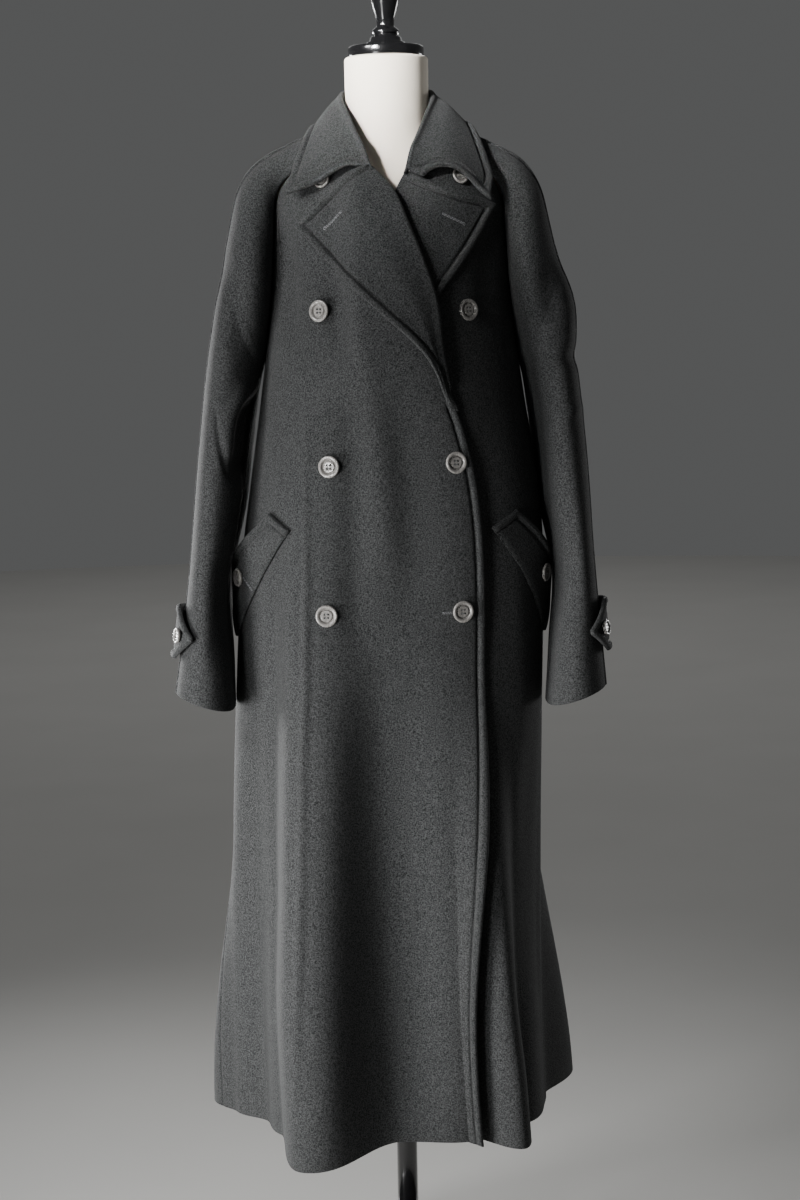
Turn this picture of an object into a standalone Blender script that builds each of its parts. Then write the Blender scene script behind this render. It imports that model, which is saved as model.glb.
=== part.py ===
"""Long double-breasted wool coat hanging on a limbless dress form.

Metres, +Z up, front towards -Y, the wearer's left towards +X, the floor at Z = 0.
Angles run round the body from the front centre, positive towards the wearer's left.
"""
import math
from bisect import bisect_right
from collections import namedtuple

import bmesh
import bpy
from mathutils import Matrix, Vector

# Driving sizes of the cloth
WALL = 0.003
FLAP_WALL = 0.004
FLAP_STAND = {"right": 0.005, "left": 0.003}
FLAP_FORWARD = 0.017
SEAM_GAP = 0.0003
LAYER_GAP = 0.0010
FRONT_GAP = 0.0024
HEM_HEIGHT = 0.266
UNDERARM_HEIGHT = 1.275
BACK_TOP_HEIGHT = 1.576
SIDE_SEAM_ANGLE = 92.0

# Driving sizes of the buttons and the form
FRONT_BUTTON = 0.028
COLLAR_BUTTON = 0.022
POCKET_BUTTON = 0.024
POCKET_BUTTON_ALONG = 0.563
POCKET_BUTTON_SHARE = 0.498
CUFF_BUTTON = 0.020
BUTTON_STEPS = 12
BUTTON_BACK = 0.0008
POLE_RADIUS = 0.014
TORSO_BOTTOM = 0.860
NECK_TOP = 1.6705
BASE_RADIUS = 0.185

# Body of the coat, ring by ring
Section = namedtuple("Section", "height shift half_width front_depth back_depth")
SECTIONS = [
    Section(0.240, -0.016, 0.217, 0.143, 0.165),
    Section(0.450, -0.020, 0.213, 0.143, 0.158),
    Section(0.650, -0.018, 0.208, 0.144, 0.150),
    Section(0.820, -0.013, 0.205, 0.145, 0.145),
    Section(1.020, -0.004, 0.200, 0.147, 0.138),
    Section(1.120, 0.000, 0.190, 0.147, 0.134),
    Section(1.240, 0.000, 0.172, 0.146, 0.130),
    Section(1.360, 0.000, 0.157, 0.139, 0.128),
    Section(1.440, 0.000, 0.155, 0.124, 0.122),
    Section(1.500, 0.000, 0.152, 0.106, 0.106),
    Section(1.530, 0.000, 0.133, 0.094, 0.094),
    Section(1.555, 0.000, 0.100, 0.081, 0.080),
    Section(1.575, 0.000, 0.068, 0.070, 0.068),
    Section(1.595, 0.000, 0.060, 0.062, 0.060),
]

# Long folds of the skirt: where they run, how far they stand out, how wide on the wearer's right and left
# of their ridge, from where they start, and the hem's dip
Fold = namedtuple("Fold", "hem_angle top_angle lift right_half left_half top_height dip")
FOLDS = [
    Fold(-29.0, -37.0, 0.066, 16.0, 32.0, 1.240, 0.017),  # in the upper front only
    Fold(-62.0, -58.0, -0.024, 24.0, 24.0, 0.950, 0.000),
    Fold(-100.0, -96.0, 0.036, 17.0, 17.0, 0.640, 0.000),
    Fold(-141.0, -138.0, 0.048, 20.0, 20.0, 0.980, 0.004),
    Fold(179.0, 179.0, 0.050, 19.0, 19.0, 1.060, 0.004),
    Fold(124.0, 126.0, 0.092, 23.0, 23.0, 0.800, 0.000),
    Fold(84.0, 78.0, -0.010, 26.0, 26.0, 0.750, 0.000),
    Fold(41.0, 37.0, 0.058, 15.0, 15.0, 0.900, 0.006),
]

# Fullness of the back beside each sleeve
FULL_ANGLE = 114.0
FULL_HALF_ANGLE = 22.0
FULL_HEIGHT = 1.050
FULL_HALF_HEIGHT = 0.220
FULL_LIFT = 0.008

# Front edge of the upper front, then its roll line above the break
Edge = namedtuple("Edge", "height reach")
UPPER_EDGE = [
    Edge(0.240, 0.101), Edge(0.450, 0.094), Edge(0.700, 0.104), Edge(0.900, 0.110), Edge(1.040, 0.110),
    Edge(1.130, 0.102), Edge(1.200, 0.086), Edge(1.228, 0.0755), Edge(1.250, 0.0665), Edge(1.295, 0.0560),
    Edge(1.354, 0.0500), Edge(1.414, 0.0325), Edge(1.453, 0.0180), Edge(1.495, 0.0005),
    Edge(1.528, -0.0255), Edge(1.575, -0.0475),
]
UNDER_EDGE = [
    Edge(0.240, -0.085), Edge(0.900, -0.095), Edge(1.130, -0.090), Edge(1.233, -0.070), Edge(1.295, -0.052),
    Edge(1.354, -0.033), Edge(1.414, -0.015), Edge(1.453, -0.0025), Edge(1.495, 0.0130),
    Edge(1.528, 0.0300), Edge(1.575, 0.0500),
]

# Raglan seams, as angles either side of the side seam
Raglan = namedtuple("Raglan", "height front_angle back_angle")
RAGLAN = [
    Raglan(1.275, 92.0, 92.0),
    Raglan(1.320, 86.0, 100.0),
    Raglan(1.380, 79.0, 106.0),
    Raglan(1.440, 74.0, 110.0),
    Raglan(1.490, 70.0, 113.0),
    Raglan(1.530, 62.0, 120.0),
    Raglan(1.555, 53.0, 129.0),
    Raglan(1.578, 47.0, 134.0),
]

# Sleeve, station by station from neck to cuff: outer-arm line, seam height or under-arm line, fullness,
# and how far the back piece leans towards the body
Station = namedtuple("Station", "number crest_x crest_y crest_z seam_z"
                     " under_x under_y under_z pull reach lean")
SLEEVE = [
    Station(0, 0.0610, 0.000, 1.5845, 1.570, 0.166, 0.010, 1.275, 0.000, 0.012, 0.000),
    Station(1, 0.1120, 0.000, 1.5695, 1.545, 0.166, 0.010, 1.275, 0.004, 0.024, 0.000),
    Station(2, 0.1500, 0.000, 1.5535, 1.505, 0.166, 0.010, 1.275, 0.016, 0.044, 0.000),
    Station(3, 0.1780, 0.000, 1.5340, 1.455, 0.166, 0.010, 1.275, 0.042, 0.062, 0.000),
    Station(4, 0.1970, 0.000, 1.5030, 1.400, 0.166, 0.010, 1.275, 0.072, 0.078, 0.000),
    Station(5, 0.2080, 0.000, 1.4580, 1.340, 0.166, 0.010, 1.275, 0.092, 0.090, 0.000),
    Station(6, 0.2190, -0.002, 1.4050, 1.280, 0.170, 0.008, 1.268, 0.100, 0.098, 0.000),
    Station(7, 0.2310, -0.006, 1.3450, 1.280, 0.179, 0.005, 1.230, 0.100, 0.100, 0.014),
    Station(8, 0.2430, -0.012, 1.2650, 1.280, 0.1885, 0.000, 1.180, 0.099, 0.099, 0.024),
    Station(9, 0.2555, -0.022, 1.1450, 1.280, 0.1990, -0.016, 1.092, 0.096, 0.096, 0.025),
    Station(10, 0.2640, -0.034, 1.0300, 1.280, 0.2140, -0.026, 0.998, 0.092, 0.092, 0.012),
    Station(11, 0.2740, -0.046, 0.9350, 1.280, 0.2100, -0.052, 0.910, 0.088, 0.088, 0.014),
    Station(12, 0.2830, -0.056, 0.8580, 1.280, 0.2045, -0.064, 0.834, 0.086, 0.086, 0.006),
]
UNDERARM_STATION = 6
SLEEVE_SWING = {"right": 0.009, "left": -0.010}
BACK_FULLNESS = 0.27
SLEEVE_PUFF = {"right": 0.0, "left": 0.010}
PUFF_HEIGHT = 1.355
SIDES = {"right": -1.0, "left": 1.0}

# Collar, half of it, from its front end to the centre back: foot of the stand, roll and outer edge
Collar = namedtuple("Collar", "number foot_x foot_y foot_z roll_x roll_y roll_z edge_x edge_y edge_z puff")
COLLAR = [
    Collar(0, 0.0230, -0.1050, 1.5310, 0.0240, -0.1090, 1.5385, 0.1290, -0.0930, 1.4930, 0.020),
    Collar(1, 0.0350, -0.0800, 1.5530, 0.0370, -0.0850, 1.5640, 0.1370, -0.0600, 1.5170, 0.012),
    Collar(2, 0.0490, -0.0460, 1.5760, 0.0515, -0.0480, 1.5980, 0.1245, -0.0240, 1.5670, 0.009),
    Collar(3, 0.0576, -0.0020, 1.5880, 0.0597, -0.0020, 1.6220, 0.1050, 0.0160, 1.5850, 0.007),
    Collar(4, 0.0480, 0.0400, 1.5860, 0.0500, 0.0430, 1.6320, 0.0850, 0.0850, 1.5720, 0.007),
    Collar(5, 0.0000, 0.0600, 1.5880, 0.0000, 0.0630, 1.6360, 0.0000, 0.1180, 1.5580, 0.007),
]

# How much lower the collar's point hangs on the wearer's left
COLLAR_DROP = 0.010

# Lapels: where the outer edge lies for a height on the roll line
LapelRow = namedtuple("LapelRow", "roll_height edge_x edge_z")
UPPER_LAPEL = [
    LapelRow(1.240, 0.0600, 1.238),
    LapelRow(1.300, 0.034, 1.292),
    LapelRow(1.370, -0.018, 1.348),
    LapelRow(1.440, -0.070, 1.403),
    LapelRow(1.5263, -0.1150, 1.4550),
]
UNDER_LAPEL = [
    LapelRow(1.272, -0.0480, 1.268),
    LapelRow(1.300, -0.024, 1.288),
    LapelRow(1.370, 0.040, 1.345),
    LapelRow(1.440, 0.090, 1.408),
    LapelRow(1.5263, 0.1290, 1.4770),
]

# Buttons on the fronts: across, height, which front
ButtonPlace = namedtuple("ButtonPlace", "name across height panel")
FRONT_BUTTONS = [
    ButtonPlace("button_collar_right", -0.083, 1.511, "right"),
    ButtonPlace("button_collar_left", 0.090, 1.513, "left"),
    ButtonPlace("button_chest_right", -0.0890, 1.3480, "right"),
    ButtonPlace("button_chest_left", 0.0965, 1.3460, "left"),
    ButtonPlace("button_waist_right", -0.0785, 1.1530, "right"),
    ButtonPlace("button_waist_left", 0.0760, 1.1555, "right"),
    ButtonPlace("button_hip_right", -0.0845, 0.9650, "right"),
    ButtonPlace("button_hip_left", 0.0820, 0.9660, "right"),
]

# Pocket flap on the body, as angle and height: along the sewn edge and along the free edge
FlapRow = namedtuple("FlapRow", "along sewn_angle sewn_z free_angle free_z")
FLAP = [
    FlapRow(0.00, 39.0, 1.071, 53.0, 1.091),
    FlapRow(0.55, 60.5, 0.990, 88.0, 1.022),
    FlapRow(1.00, 78.0, 0.924, 91.0, 0.956),
]

# Dress form, ring by ring: the shoulders and the core of chest and neck run into one outline
FormRing = namedtuple("FormRing", "height shoulder shoulder_depth core_width core_front core_back")
FORM = [
    FormRing(0.8600, 0.100, 0.050, 0.148, 0.106, 0.112),
    FormRing(0.9500, 0.100, 0.050, 0.156, 0.116, 0.118),
    FormRing(1.0600, 0.100, 0.050, 0.140, 0.108, 0.108),
    FormRing(1.1600, 0.090, 0.050, 0.112, 0.094, 0.090),
    FormRing(1.2700, 0.100, 0.050, 0.124, 0.108, 0.098),
    FormRing(1.3600, 0.110, 0.050, 0.136, 0.124, 0.108),
    FormRing(1.4400, 0.125, 0.050, 0.136, 0.110, 0.104),
    FormRing(1.4950, 0.145, 0.042, 0.112, 0.088, 0.086),
    FormRing(1.5300, 0.159, 0.034, 0.080, 0.070, 0.070),
    FormRing(1.5490, 0.147, 0.028, 0.066, 0.062, 0.062),
    FormRing(1.5645, 0.1105, 0.022, 0.058, 0.057, 0.057),
    FormRing(1.5790, 0.0560, 0.018, 0.0545, 0.055, 0.054),
    FormRing(1.6000, 0.0300, 0.018, 0.0540, 0.0545, 0.0535),
    FormRing(1.6705, 0.0300, 0.018, 0.0540, 0.0540, 0.0530),
]
FORM_STEPS = 24

COLOURS = {
    "wool_dark": (0.018, 0.018, 0.020, 1.0),
    "button_dark": (0.020, 0.020, 0.022, 1.0),
    "form_cloth": (0.78, 0.76, 0.72, 1.0),
    "stand_black": (0.012, 0.012, 0.012, 1.0),
}


for item in list(bpy.data.objects):
    bpy.data.objects.remove(item, do_unlink=True)


def material(name):
    """The named material, made once."""
    found = bpy.data.materials.get(name)
    if found is None:
        found = bpy.data.materials.new(name)
        found.use_nodes = True
        shader = found.node_tree.nodes["Principled BSDF"]
        shader.inputs["Base Color"].default_value = COLOURS[name]
        shader.inputs["Roughness"].default_value = 0.85 if name in ("wool_dark", "form_cloth") else 0.35
    return found


def row_at(table, key):
    """A row of a table at any value of its first column, on a smooth curve through the rows."""
    keys = [row[0] for row in table]
    key = min(max(key, keys[0]), keys[-1])
    i = min(max(bisect_right(keys, key) - 1, 0), len(keys) - 2)
    first, second = table[i], table[i + 1]
    before, after = table[max(i - 1, 0)], table[min(i + 2, len(keys) - 1)]
    span = second[0] - first[0]
    t = (key - first[0]) / span
    values = []
    for a, b, p, n in zip(first, second, before, after):
        start = (b - p) / (second[0] - before[0]) * span
        end = (n - a) / (after[0] - first[0]) * span
        values.append((2 * t**3 - 3 * t**2 + 1) * a + (t**3 - 2 * t**2 + t) * start
                      + (3 * t**2 - 2 * t**3) * b + (t**3 - t**2) * end)
    return type(first)(*values)


def straight_at(table, key):
    """A row of a table at any value of its first column, on straight lines between the rows."""
    keys = [row[0] for row in table]
    key = min(max(key, keys[0]), keys[-1])
    i = min(max(bisect_right(keys, key) - 1, 0), len(keys) - 2)
    t = (key - keys[i]) / (keys[i + 1] - keys[i])
    return type(table[0])(*[a + (b - a) * t for a, b in zip(table[i], table[i + 1])])


def smooth(t):
    """0 to 1 with soft ends."""
    t = min(max(t, 0.0), 1.0)
    return t * t * (3.0 - 2.0 * t)


def bump(t):
    """1 in the middle, 0 from -1 outwards and from 1 outwards."""
    return 0.5 + 0.5 * math.cos(math.pi * min(abs(t), 1.0))


def turn(angle):
    """An angle brought between -180 and 180 degrees."""
    return (angle + 180.0) % 360.0 - 180.0


def fold_share(fold, angle, height):
    """How much of one long fold there is at a place, 0 to 1."""
    down = (fold.top_height - height) / (fold.top_height - HEM_HEIGHT)
    if down <= 0.0:
        return 0.0
    middle = fold.top_angle + (fold.hem_angle - fold.top_angle) * min(down, 1.0)
    beside = turn(angle - middle)
    half = fold.left_half if beside > 0.0 else fold.right_half
    return bump(beside / half) * smooth(down) ** 0.8


def hem_drop(folds, angle, height):
    """How far the cloth hangs lower near the hem where a long fold pulls it down."""
    near = smooth(1.0 - (height - HEM_HEIGHT) / 0.30)
    return near * sum(fold.dip * fold_share(fold, angle, HEM_HEIGHT) for fold in folds)


def body_point(angle, height, folds=FOLDS):
    """A point of the coat's outer face on the body."""
    ring = row_at(SECTIONS, height)
    a = math.radians(angle)
    depth = ring.front_depth if math.cos(a) > 0.0 else ring.back_depth
    out = Vector((math.sin(a) * depth, -math.cos(a) * ring.half_width)).normalized()
    lift = sum(fold.lift * fold_share(fold, angle, height) for fold in folds)
    beside = bump((abs(turn(angle)) - FULL_ANGLE) / FULL_HALF_ANGLE)
    lift += FULL_LIFT * beside * bump((height - FULL_HEIGHT) / FULL_HALF_HEIGHT)
    return Vector((ring.shift + ring.half_width * math.sin(a) + out.x * lift,
                   -depth * math.cos(a) + out.y * lift,
                   height - hem_drop(folds, angle, height)))


def under_point(angle, height):
    """The same face for the under front, which the upper front's own fold stands clear of."""
    return body_point(angle, height, FOLDS[1:])


def normal_of(surface, u, v, step_u, step_v):
    """Outward direction of a surface given as a function of two numbers."""
    across = surface(u + step_u, v) - surface(u - step_u, v)
    along = surface(u, v + step_v) - surface(u, v - step_v)
    return across.cross(along).normalized()


def body_normal(angle, height, surface=body_point):
    return normal_of(surface, angle, height, 0.6, 0.004)


def angle_for(across, height):
    """The angle at which the plain ring reaches a place across the front."""
    ring = row_at(SECTIONS, height)
    return math.degrees(math.asin(min(max((across - ring.shift) / ring.half_width, -1.0), 1.0)))


def upper_offset(angle, height):
    """How far the upper front stands off the body's face: over the under front, and more over its lapel."""
    start = -62.0 + 34.0 * smooth((height - 1.120) / 0.20)
    share = smooth((angle - start) / 16.0) * smooth((1.560 - height) / 0.05)
    chest = smooth((height - 1.200) / 0.10) * smooth((1.540 - height) / 0.07)
    hem = smooth((angle - 8.0) / 18.0) * smooth((0.800 - height) / 0.40)
    return share * (WALL + FRONT_GAP + 0.0118 * chest + 0.0040 * hem)


def cloth(name, outer, inner, slot):
    """A closed wall of cloth between two faces of points, each a list of rows."""
    rows, columns = len(outer), len(outer[0])
    mesh = bmesh.new()
    bmesh.ops.create_grid(mesh, x_segments=columns - 1, y_segments=rows - 1, size=0.5)
    first = list(mesh.verts)
    made = bmesh.ops.extrude_face_region(mesh, geom=list(mesh.faces), use_keep_orig=True)
    lifted = [item for item in made["geom"] if isinstance(item, bmesh.types.BMVert)]
    for verts, face in ((first, outer), (lifted, inner)):
        for vert in verts:
            row = round((vert.co.y + 0.5) * (rows - 1))
            column = round((vert.co.x + 0.5) * (columns - 1))
            vert.co = face[row][column]
    bmesh.ops.recalc_face_normals(mesh, faces=list(mesh.faces))
    if mesh.calc_volume(signed=True) < 0.0:
        bmesh.ops.reverse_faces(mesh, faces=list(mesh.faces))
    data = bpy.data.meshes.new(name)
    mesh.to_mesh(data)
    mesh.free()
    made = bpy.data.objects.new(name, data)
    bpy.context.collection.objects.link(made)
    data.materials.append(material(slot))
    return made


def body_panel(name, columns, levels, bounds, offset, surface=body_point):
    """A wall of the body between two angles that change with height."""
    outer, inner = [], []
    for level in levels:
        start, stop = bounds(level)
        outer_row, inner_row = [], []
        for i in range(columns + 1):
            angle = start + (stop - start) * i / columns
            out = body_normal(angle, level, surface)
            place = surface(angle, level) + out * offset(angle, level)
            outer_row.append(place)
            inner_row.append(place - out * WALL)
        outer.append(outer_row)
        inner.append(inner_row)
    return cloth(name, outer, inner, "wool_dark")


def seam_slip(height):
    """Half a seam's gap as an angle of the ring."""
    ring = row_at(SECTIONS, height)
    return math.degrees(0.9 * SEAM_GAP / (0.5 * (ring.half_width + ring.front_depth)))


def front_outer(height):
    """Angle of a front's outer boundary: the side seam, then the raglan seam."""
    if height <= UNDERARM_HEIGHT:
        return SIDE_SEAM_ANGLE - seam_slip(height)
    return row_at(RAGLAN, height).front_angle - seam_slip(height)


def back_outer(height):
    if height <= UNDERARM_HEIGHT:
        return SIDE_SEAM_ANGLE + seam_slip(height)
    return row_at(RAGLAN, height).back_angle + seam_slip(height)


# Heights of the panels' rows; above the under-arm the sleeves' stations use the same ones
SKIRT_LEVELS = [HEM_HEIGHT + (1.230 - HEM_HEIGHT) * i / 11 for i in range(12)]
CAP_STATIONS = [i * 0.5 for i in range(12)]
RAGLAN_LEVELS = [row_at(SLEEVE, station).seam_z for station in reversed(CAP_STATIONS)]
FRONT_LEVELS = SKIRT_LEVELS + [UNDERARM_HEIGHT] + RAGLAN_LEVELS[:-2]
BACK_LEVELS = SKIRT_LEVELS + [UNDERARM_HEIGHT] + RAGLAN_LEVELS + [BACK_TOP_HEIGHT]


def right_bounds(height):
    return -front_outer(height), angle_for(row_at(UPPER_EDGE, height).reach, height)


def left_bounds(height):
    return angle_for(row_at(UNDER_EDGE, height).reach, height), front_outer(height)


def back_bounds(height):
    return back_outer(height), 360.0 - back_outer(height)


def no_offset(angle, height):
    return 0.0


body_panel("front_right", 24, FRONT_LEVELS, right_bounds, upper_offset)
body_panel("front_left", 18, FRONT_LEVELS, left_bounds, no_offset, under_point)
body_panel("back", 22, BACK_LEVELS, back_bounds, no_offset)


# Sleeves
def seam_point(half, station, row):
    """Where a sleeve piece starts, on the wearer's left: the raglan seam, then the line under the arm."""
    if station >= UNDERARM_STATION:
        return Vector((row.under_x, row.under_y, row.under_z))
    raglan = row_at(RAGLAN, row.seam_z)
    slip = seam_slip(row.seam_z)
    angle = raglan.front_angle + slip if half == "front" else raglan.back_angle - slip
    return body_point(angle, row.seam_z) + body_normal(angle, row.seam_z) * 2.0 * SEAM_GAP


def sleeve_point(half, station, around):
    """A point of the sleeve's outer face on the wearer's left; around goes from seam to outer arm."""
    row = row_at(SLEEVE, station)
    way = Vector((0.0, -1.0 if half == "front" else 1.0, 0.0))
    start = seam_point(half, station, row)
    crest = Vector((row.crest_x, row.crest_y, row.crest_z))
    lead = (crest - start) * max(0.0, 1.0 - row.pull / 0.040) / 3.0
    if half == "back":
        way *= 1.0 + BACK_FULLNESS * smooth((station - UNDERARM_STATION) / 3.0)
        lead.x -= row.lean
    a, b, c, d = start, start + lead + way * row.pull, crest + way * row.reach, crest
    t = around
    return a * (1 - t)**3 + b * (3 * t * (1 - t)**2) + c * (3 * t * t * (1 - t)) + d * t**3


def sleeve_normal(half, station, around):
    """Outward direction of the sleeve, the body's own where the two run on smoothly."""
    station = min(max(station, 0.02), 11.98)
    if UNDERARM_STATION - 0.02 < station < UNDERARM_STATION + 0.02:
        station = UNDERARM_STATION + 0.02
    out = normal_of(lambda s, w: sleeve_point(half, s, w), station, around, 0.01, 0.01)
    if half == "back":
        out = -out
    if around < 0.001 and station < UNDERARM_STATION:
        row = row_at(SLEEVE, station)
        raglan = row_at(RAGLAN, row.seam_z)
        body = body_normal(raglan.front_angle if half == "front" else raglan.back_angle, row.seam_z)
        if out.dot(body) > 0.5:
            out = body
    return out


def sided(side, place):
    """A point on the wearer's left moved to the asked side, with the sleeve's own swing and puff."""
    drop = max(0.0, 1.405 - place.z) / 0.55
    puff = SLEEVE_PUFF[side] * bump((place.z - PUFF_HEIGHT) / 0.085) * smooth((place.x - 0.185) / 0.045)
    return Vector((SIDES[side] * (place.x + SLEEVE_SWING[side] * drop * drop + puff), place.y, place.z))


SLEEVE_STATIONS = CAP_STATIONS + [6.0, 6.5, 7.0, 8.0, 9.0, 10.0, 11.0, 12.0]
AROUND = 8


def sleeve_piece(side, half):
    outer, inner = [], []
    for station in SLEEVE_STATIONS:
        outer_row, inner_row = [], []
        for i in range(AROUND + 1):
            around = i / AROUND
            place = sleeve_point(half, station, around)
            out = sleeve_normal(half, station, around)
            slip = Vector((0.0, 0.0, 0.0))
            if i == AROUND or (i == 0 and station >= UNDERARM_STATION):
                slip.y = (-0.5 if half == "front" else 0.5) * SEAM_GAP
            outer_row.append(sided(side, place + slip))
            inner_row.append(sided(side, place + slip - out * WALL))
        outer.append(outer_row)
        inner.append(inner_row)
    return cloth(f"sleeve_{side}_{half}", outer, inner, "wool_dark")


for side in SIDES:
    for half in ("front", "back"):
        sleeve_piece(side, half)


# Collar: up the stand, over the roll and down the fall
def collar_point(station, along):
    """Middle of the wall; station runs from the wearer's right round the neck, along from foot to edge."""
    mirrored = station > 5.0
    row = row_at(COLLAR, 10.0 - station if mirrored else station)
    foot = Vector((row.foot_x, row.foot_y, row.foot_z))
    roll = Vector((row.roll_x, row.roll_y, row.roll_z))
    edge = Vector((row.edge_x, row.edge_y, row.edge_z))
    if mirrored:
        edge.z -= COLLAR_DROP * smooth((station - 8.0) / 2.0)
    fall = edge - roll
    level = Vector((fall.x, fall.y, 0.0)).normalized()
    inner = roll - level * 0.0035 - Vector((0, 0, 0.0065))
    outer = roll + level * 0.0050 - Vector((0, 0, 0.0045))
    middle = roll + fall * 0.45 + Vector((0, 0, row.puff))
    path = [foot, inner, roll, outer, middle, edge]
    knots = [0.0, 0.30, 0.40, 0.50, 0.75, 1.0]
    Knot = namedtuple("Knot", "key x y z")
    spot = row_at([Knot(k, *p) for k, p in zip(knots, path)], along)
    return Vector((spot.x if mirrored else -spot.x, spot.y, spot.z))


COLLAR_ROWS = [0.0, 0.15, 0.30, 0.35, 0.40, 0.45, 0.50, 0.60, 0.75, 0.88, 1.0]
COLLAR_COLUMNS = 24


def collar():
    outer, inner = [], []
    for along in COLLAR_ROWS:
        outer_row, inner_row = [], []
        for i in range(COLLAR_COLUMNS + 1):
            station = 10.0 * i / COLLAR_COLUMNS
            inside = min(max(station, 0.03), 9.97)
            out = normal_of(collar_point, inside, min(max(along, 0.012), 0.988), 0.02, 0.01)
            place = collar_point(station, along)
            outer_row.append(place - out * WALL * 0.5)
            inner_row.append(place + out * WALL * 0.5)
        outer.append(outer_row)
        inner.append(inner_row)
    return cloth("collar", outer, inner, "wool_dark")


collar()


# Lapels: a short tail inside, a turn round the front's edge, then flat on the front
def front_place(panel, angle, height, lift):
    """A point on a front, moved out from its outer face."""
    offset = upper_offset(angle, height) if panel == "right" else 0.0
    return body_point(angle, height) + body_normal(angle, height) * (offset + lift)


LAPEL_COLUMNS = 8
TURN_STEPS = 4
TAIL = 0.006
LAPEL_RISE = 0.0040


def lapel(name, panel, edge_table, lapel_table, inward):
    """A lapel on one front; inward is the sign of the way from the front's edge onto the front."""
    outer, inner = [], []
    low, high = lapel_table[0].roll_height, lapel_table[-1].roll_height
    for height in [low] + [level for level in FRONT_LEVELS if low + 0.008 < level < high - 0.008] + [high]:
        edge_x = row_at(edge_table, height).reach
        angle = angle_for(edge_x, height)
        out = body_normal(angle, height)
        rim = front_place(panel, angle, height, -0.5 * WALL)
        onto = front_place(panel, angle + 2.0 * inward, height, -0.5 * WALL) - rim
        onto = (onto - out * onto.dot(out)).normalized()
        small = 0.5 * WALL + 3.0 * SEAM_GAP
        large = small + WALL
        face, back = [], []
        face.append(rim + onto * TAIL - out * large)
        back.append(rim + onto * TAIL - out * small)
        for k in range(TURN_STEPS + 1):
            turned = math.pi * k / TURN_STEPS
            spoke = -out * math.cos(turned) - onto * math.sin(turned)
            face.append(rim + spoke * large)
            back.append(rim + spoke * small)
        row = row_at(lapel_table, height)
        for k in range(1, LAPEL_COLUMNS + 1):
            share = k / LAPEL_COLUMNS
            across = edge_x + inward * 0.004 + (row.edge_x - edge_x - inward * 0.004) * share
            level = height + (row.edge_z - height) * share
            spot = angle_for(across, level)
            lift = 3.0 * SEAM_GAP + LAPEL_RISE * smooth(share * 2.5)
            back.append(front_place(panel, spot, level, lift))
            face.append(front_place(panel, spot, level, lift + WALL))
        outer.append(face)
        inner.append(back)
    return cloth(name, outer, inner, "wool_dark")


lapel("lapel_right", "right", UPPER_EDGE, UPPER_LAPEL, -1.0)
lapel("lapel_left", "left", UNDER_EDGE, UNDER_LAPEL, 1.0)


# Pocket flaps
def body_place(side, angle, height, lift):
    angle = SIDES[side] * angle
    offset = upper_offset(angle, height) if side == "right" else 0.0
    return body_point(angle, height) + body_normal(angle, height) * (offset + lift)


def flap_place(side, along, share, lift):
    """A point of a pocket flap: along its sewn edge, a share of the way to the free edge, moved out."""
    row = straight_at(FLAP, along)
    angle = row.sewn_angle + (row.free_angle - row.sewn_angle) * share
    height = row.sewn_z + (row.free_z - row.sewn_z) * share
    free = share**1.5
    stand = FLAP_STAND[side] * free * (1.0 - 0.8 * smooth((along - 0.55) / 0.45))
    place = body_place(side, angle, height, LAYER_GAP + stand + lift)
    return place - Vector((0.0, FLAP_FORWARD * free, 0.0))


def pocket_flap(side):
    outer, inner = [], []
    for i in range(10):
        along = i / 9 if i != 5 else 0.55
        outer.append([flap_place(side, along, k / 4, FLAP_WALL) for k in range(5)])
        inner.append([flap_place(side, along, k / 4, 0.0) for k in range(5)])
    return cloth(f"pocket_flap_{side}", outer, inner, "wool_dark")


# Cuff tabs: round the outer arm from the back, pointed at the front
def sleeve_round(station, around):
    """Place and outward direction on the sleeve; around is 0 at the outer arm, + to the front."""
    half = "front" if around > 0.0 else "back"
    along = 1.0 - abs(around)
    return sleeve_point(half, station, along), sleeve_normal(half, station, along)


TAB_MIDDLE = 11.02
TAB_HALF = 0.40
TAB_BACK = -0.50
TAB_FRONT = 0.40
TAB_TILT = -0.22


def cuff_tab(side):
    outer, inner = [], []
    for i in range(11):
        share = i / 10
        around = TAB_BACK + (TAB_FRONT - TAB_BACK) * share
        half = TAB_HALF * (1.0 - 0.92 * max(0.0, share - 0.72) / 0.28)
        lift = LAYER_GAP + 0.006 * smooth(share / 0.55)
        outer_row, inner_row = [], []
        for k in range(4):
            station = TAB_MIDDLE + TAB_TILT * around + half * (2.0 * k / 3 - 1.0)
            place, out = sleeve_round(station, around)
            outer_row.append(sided(side, place + out * (lift + WALL)))
            inner_row.append(sided(side, place + out * lift))
        outer.append(outer_row)
        inner.append(inner_row)
    return cloth(f"cuff_tab_{side}", outer, inner, "wool_dark")


for side in SIDES:
    pocket_flap(side)
    cuff_tab(side)


# Turned pieces
def turned(name, profile, steps, slot, place=None, out=None):
    """A solid of revolution from (radius, height) points, stood at a place along a direction."""
    data = bpy.data.meshes.new(name)
    data.from_pydata([(r, 0.0, z) for r, z in profile], [(i, i + 1) for i in range(len(profile) - 1)], [])
    made = bpy.data.objects.new(name, data)
    bpy.context.collection.objects.link(made)
    screw = made.modifiers.new("turn", "SCREW")
    screw.axis = "Z"
    screw.angle = math.tau
    screw.steps = steps
    screw.render_steps = steps
    screw.use_merge_vertices = True
    screw.merge_threshold = 1e-5
    screw.use_normal_flip = True
    if out is not None:
        made.matrix_world = Matrix.Translation(place) @ out.to_track_quat("Z", "Y").to_matrix().to_4x4()
    data.materials.append(material(slot))
    return made


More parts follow.
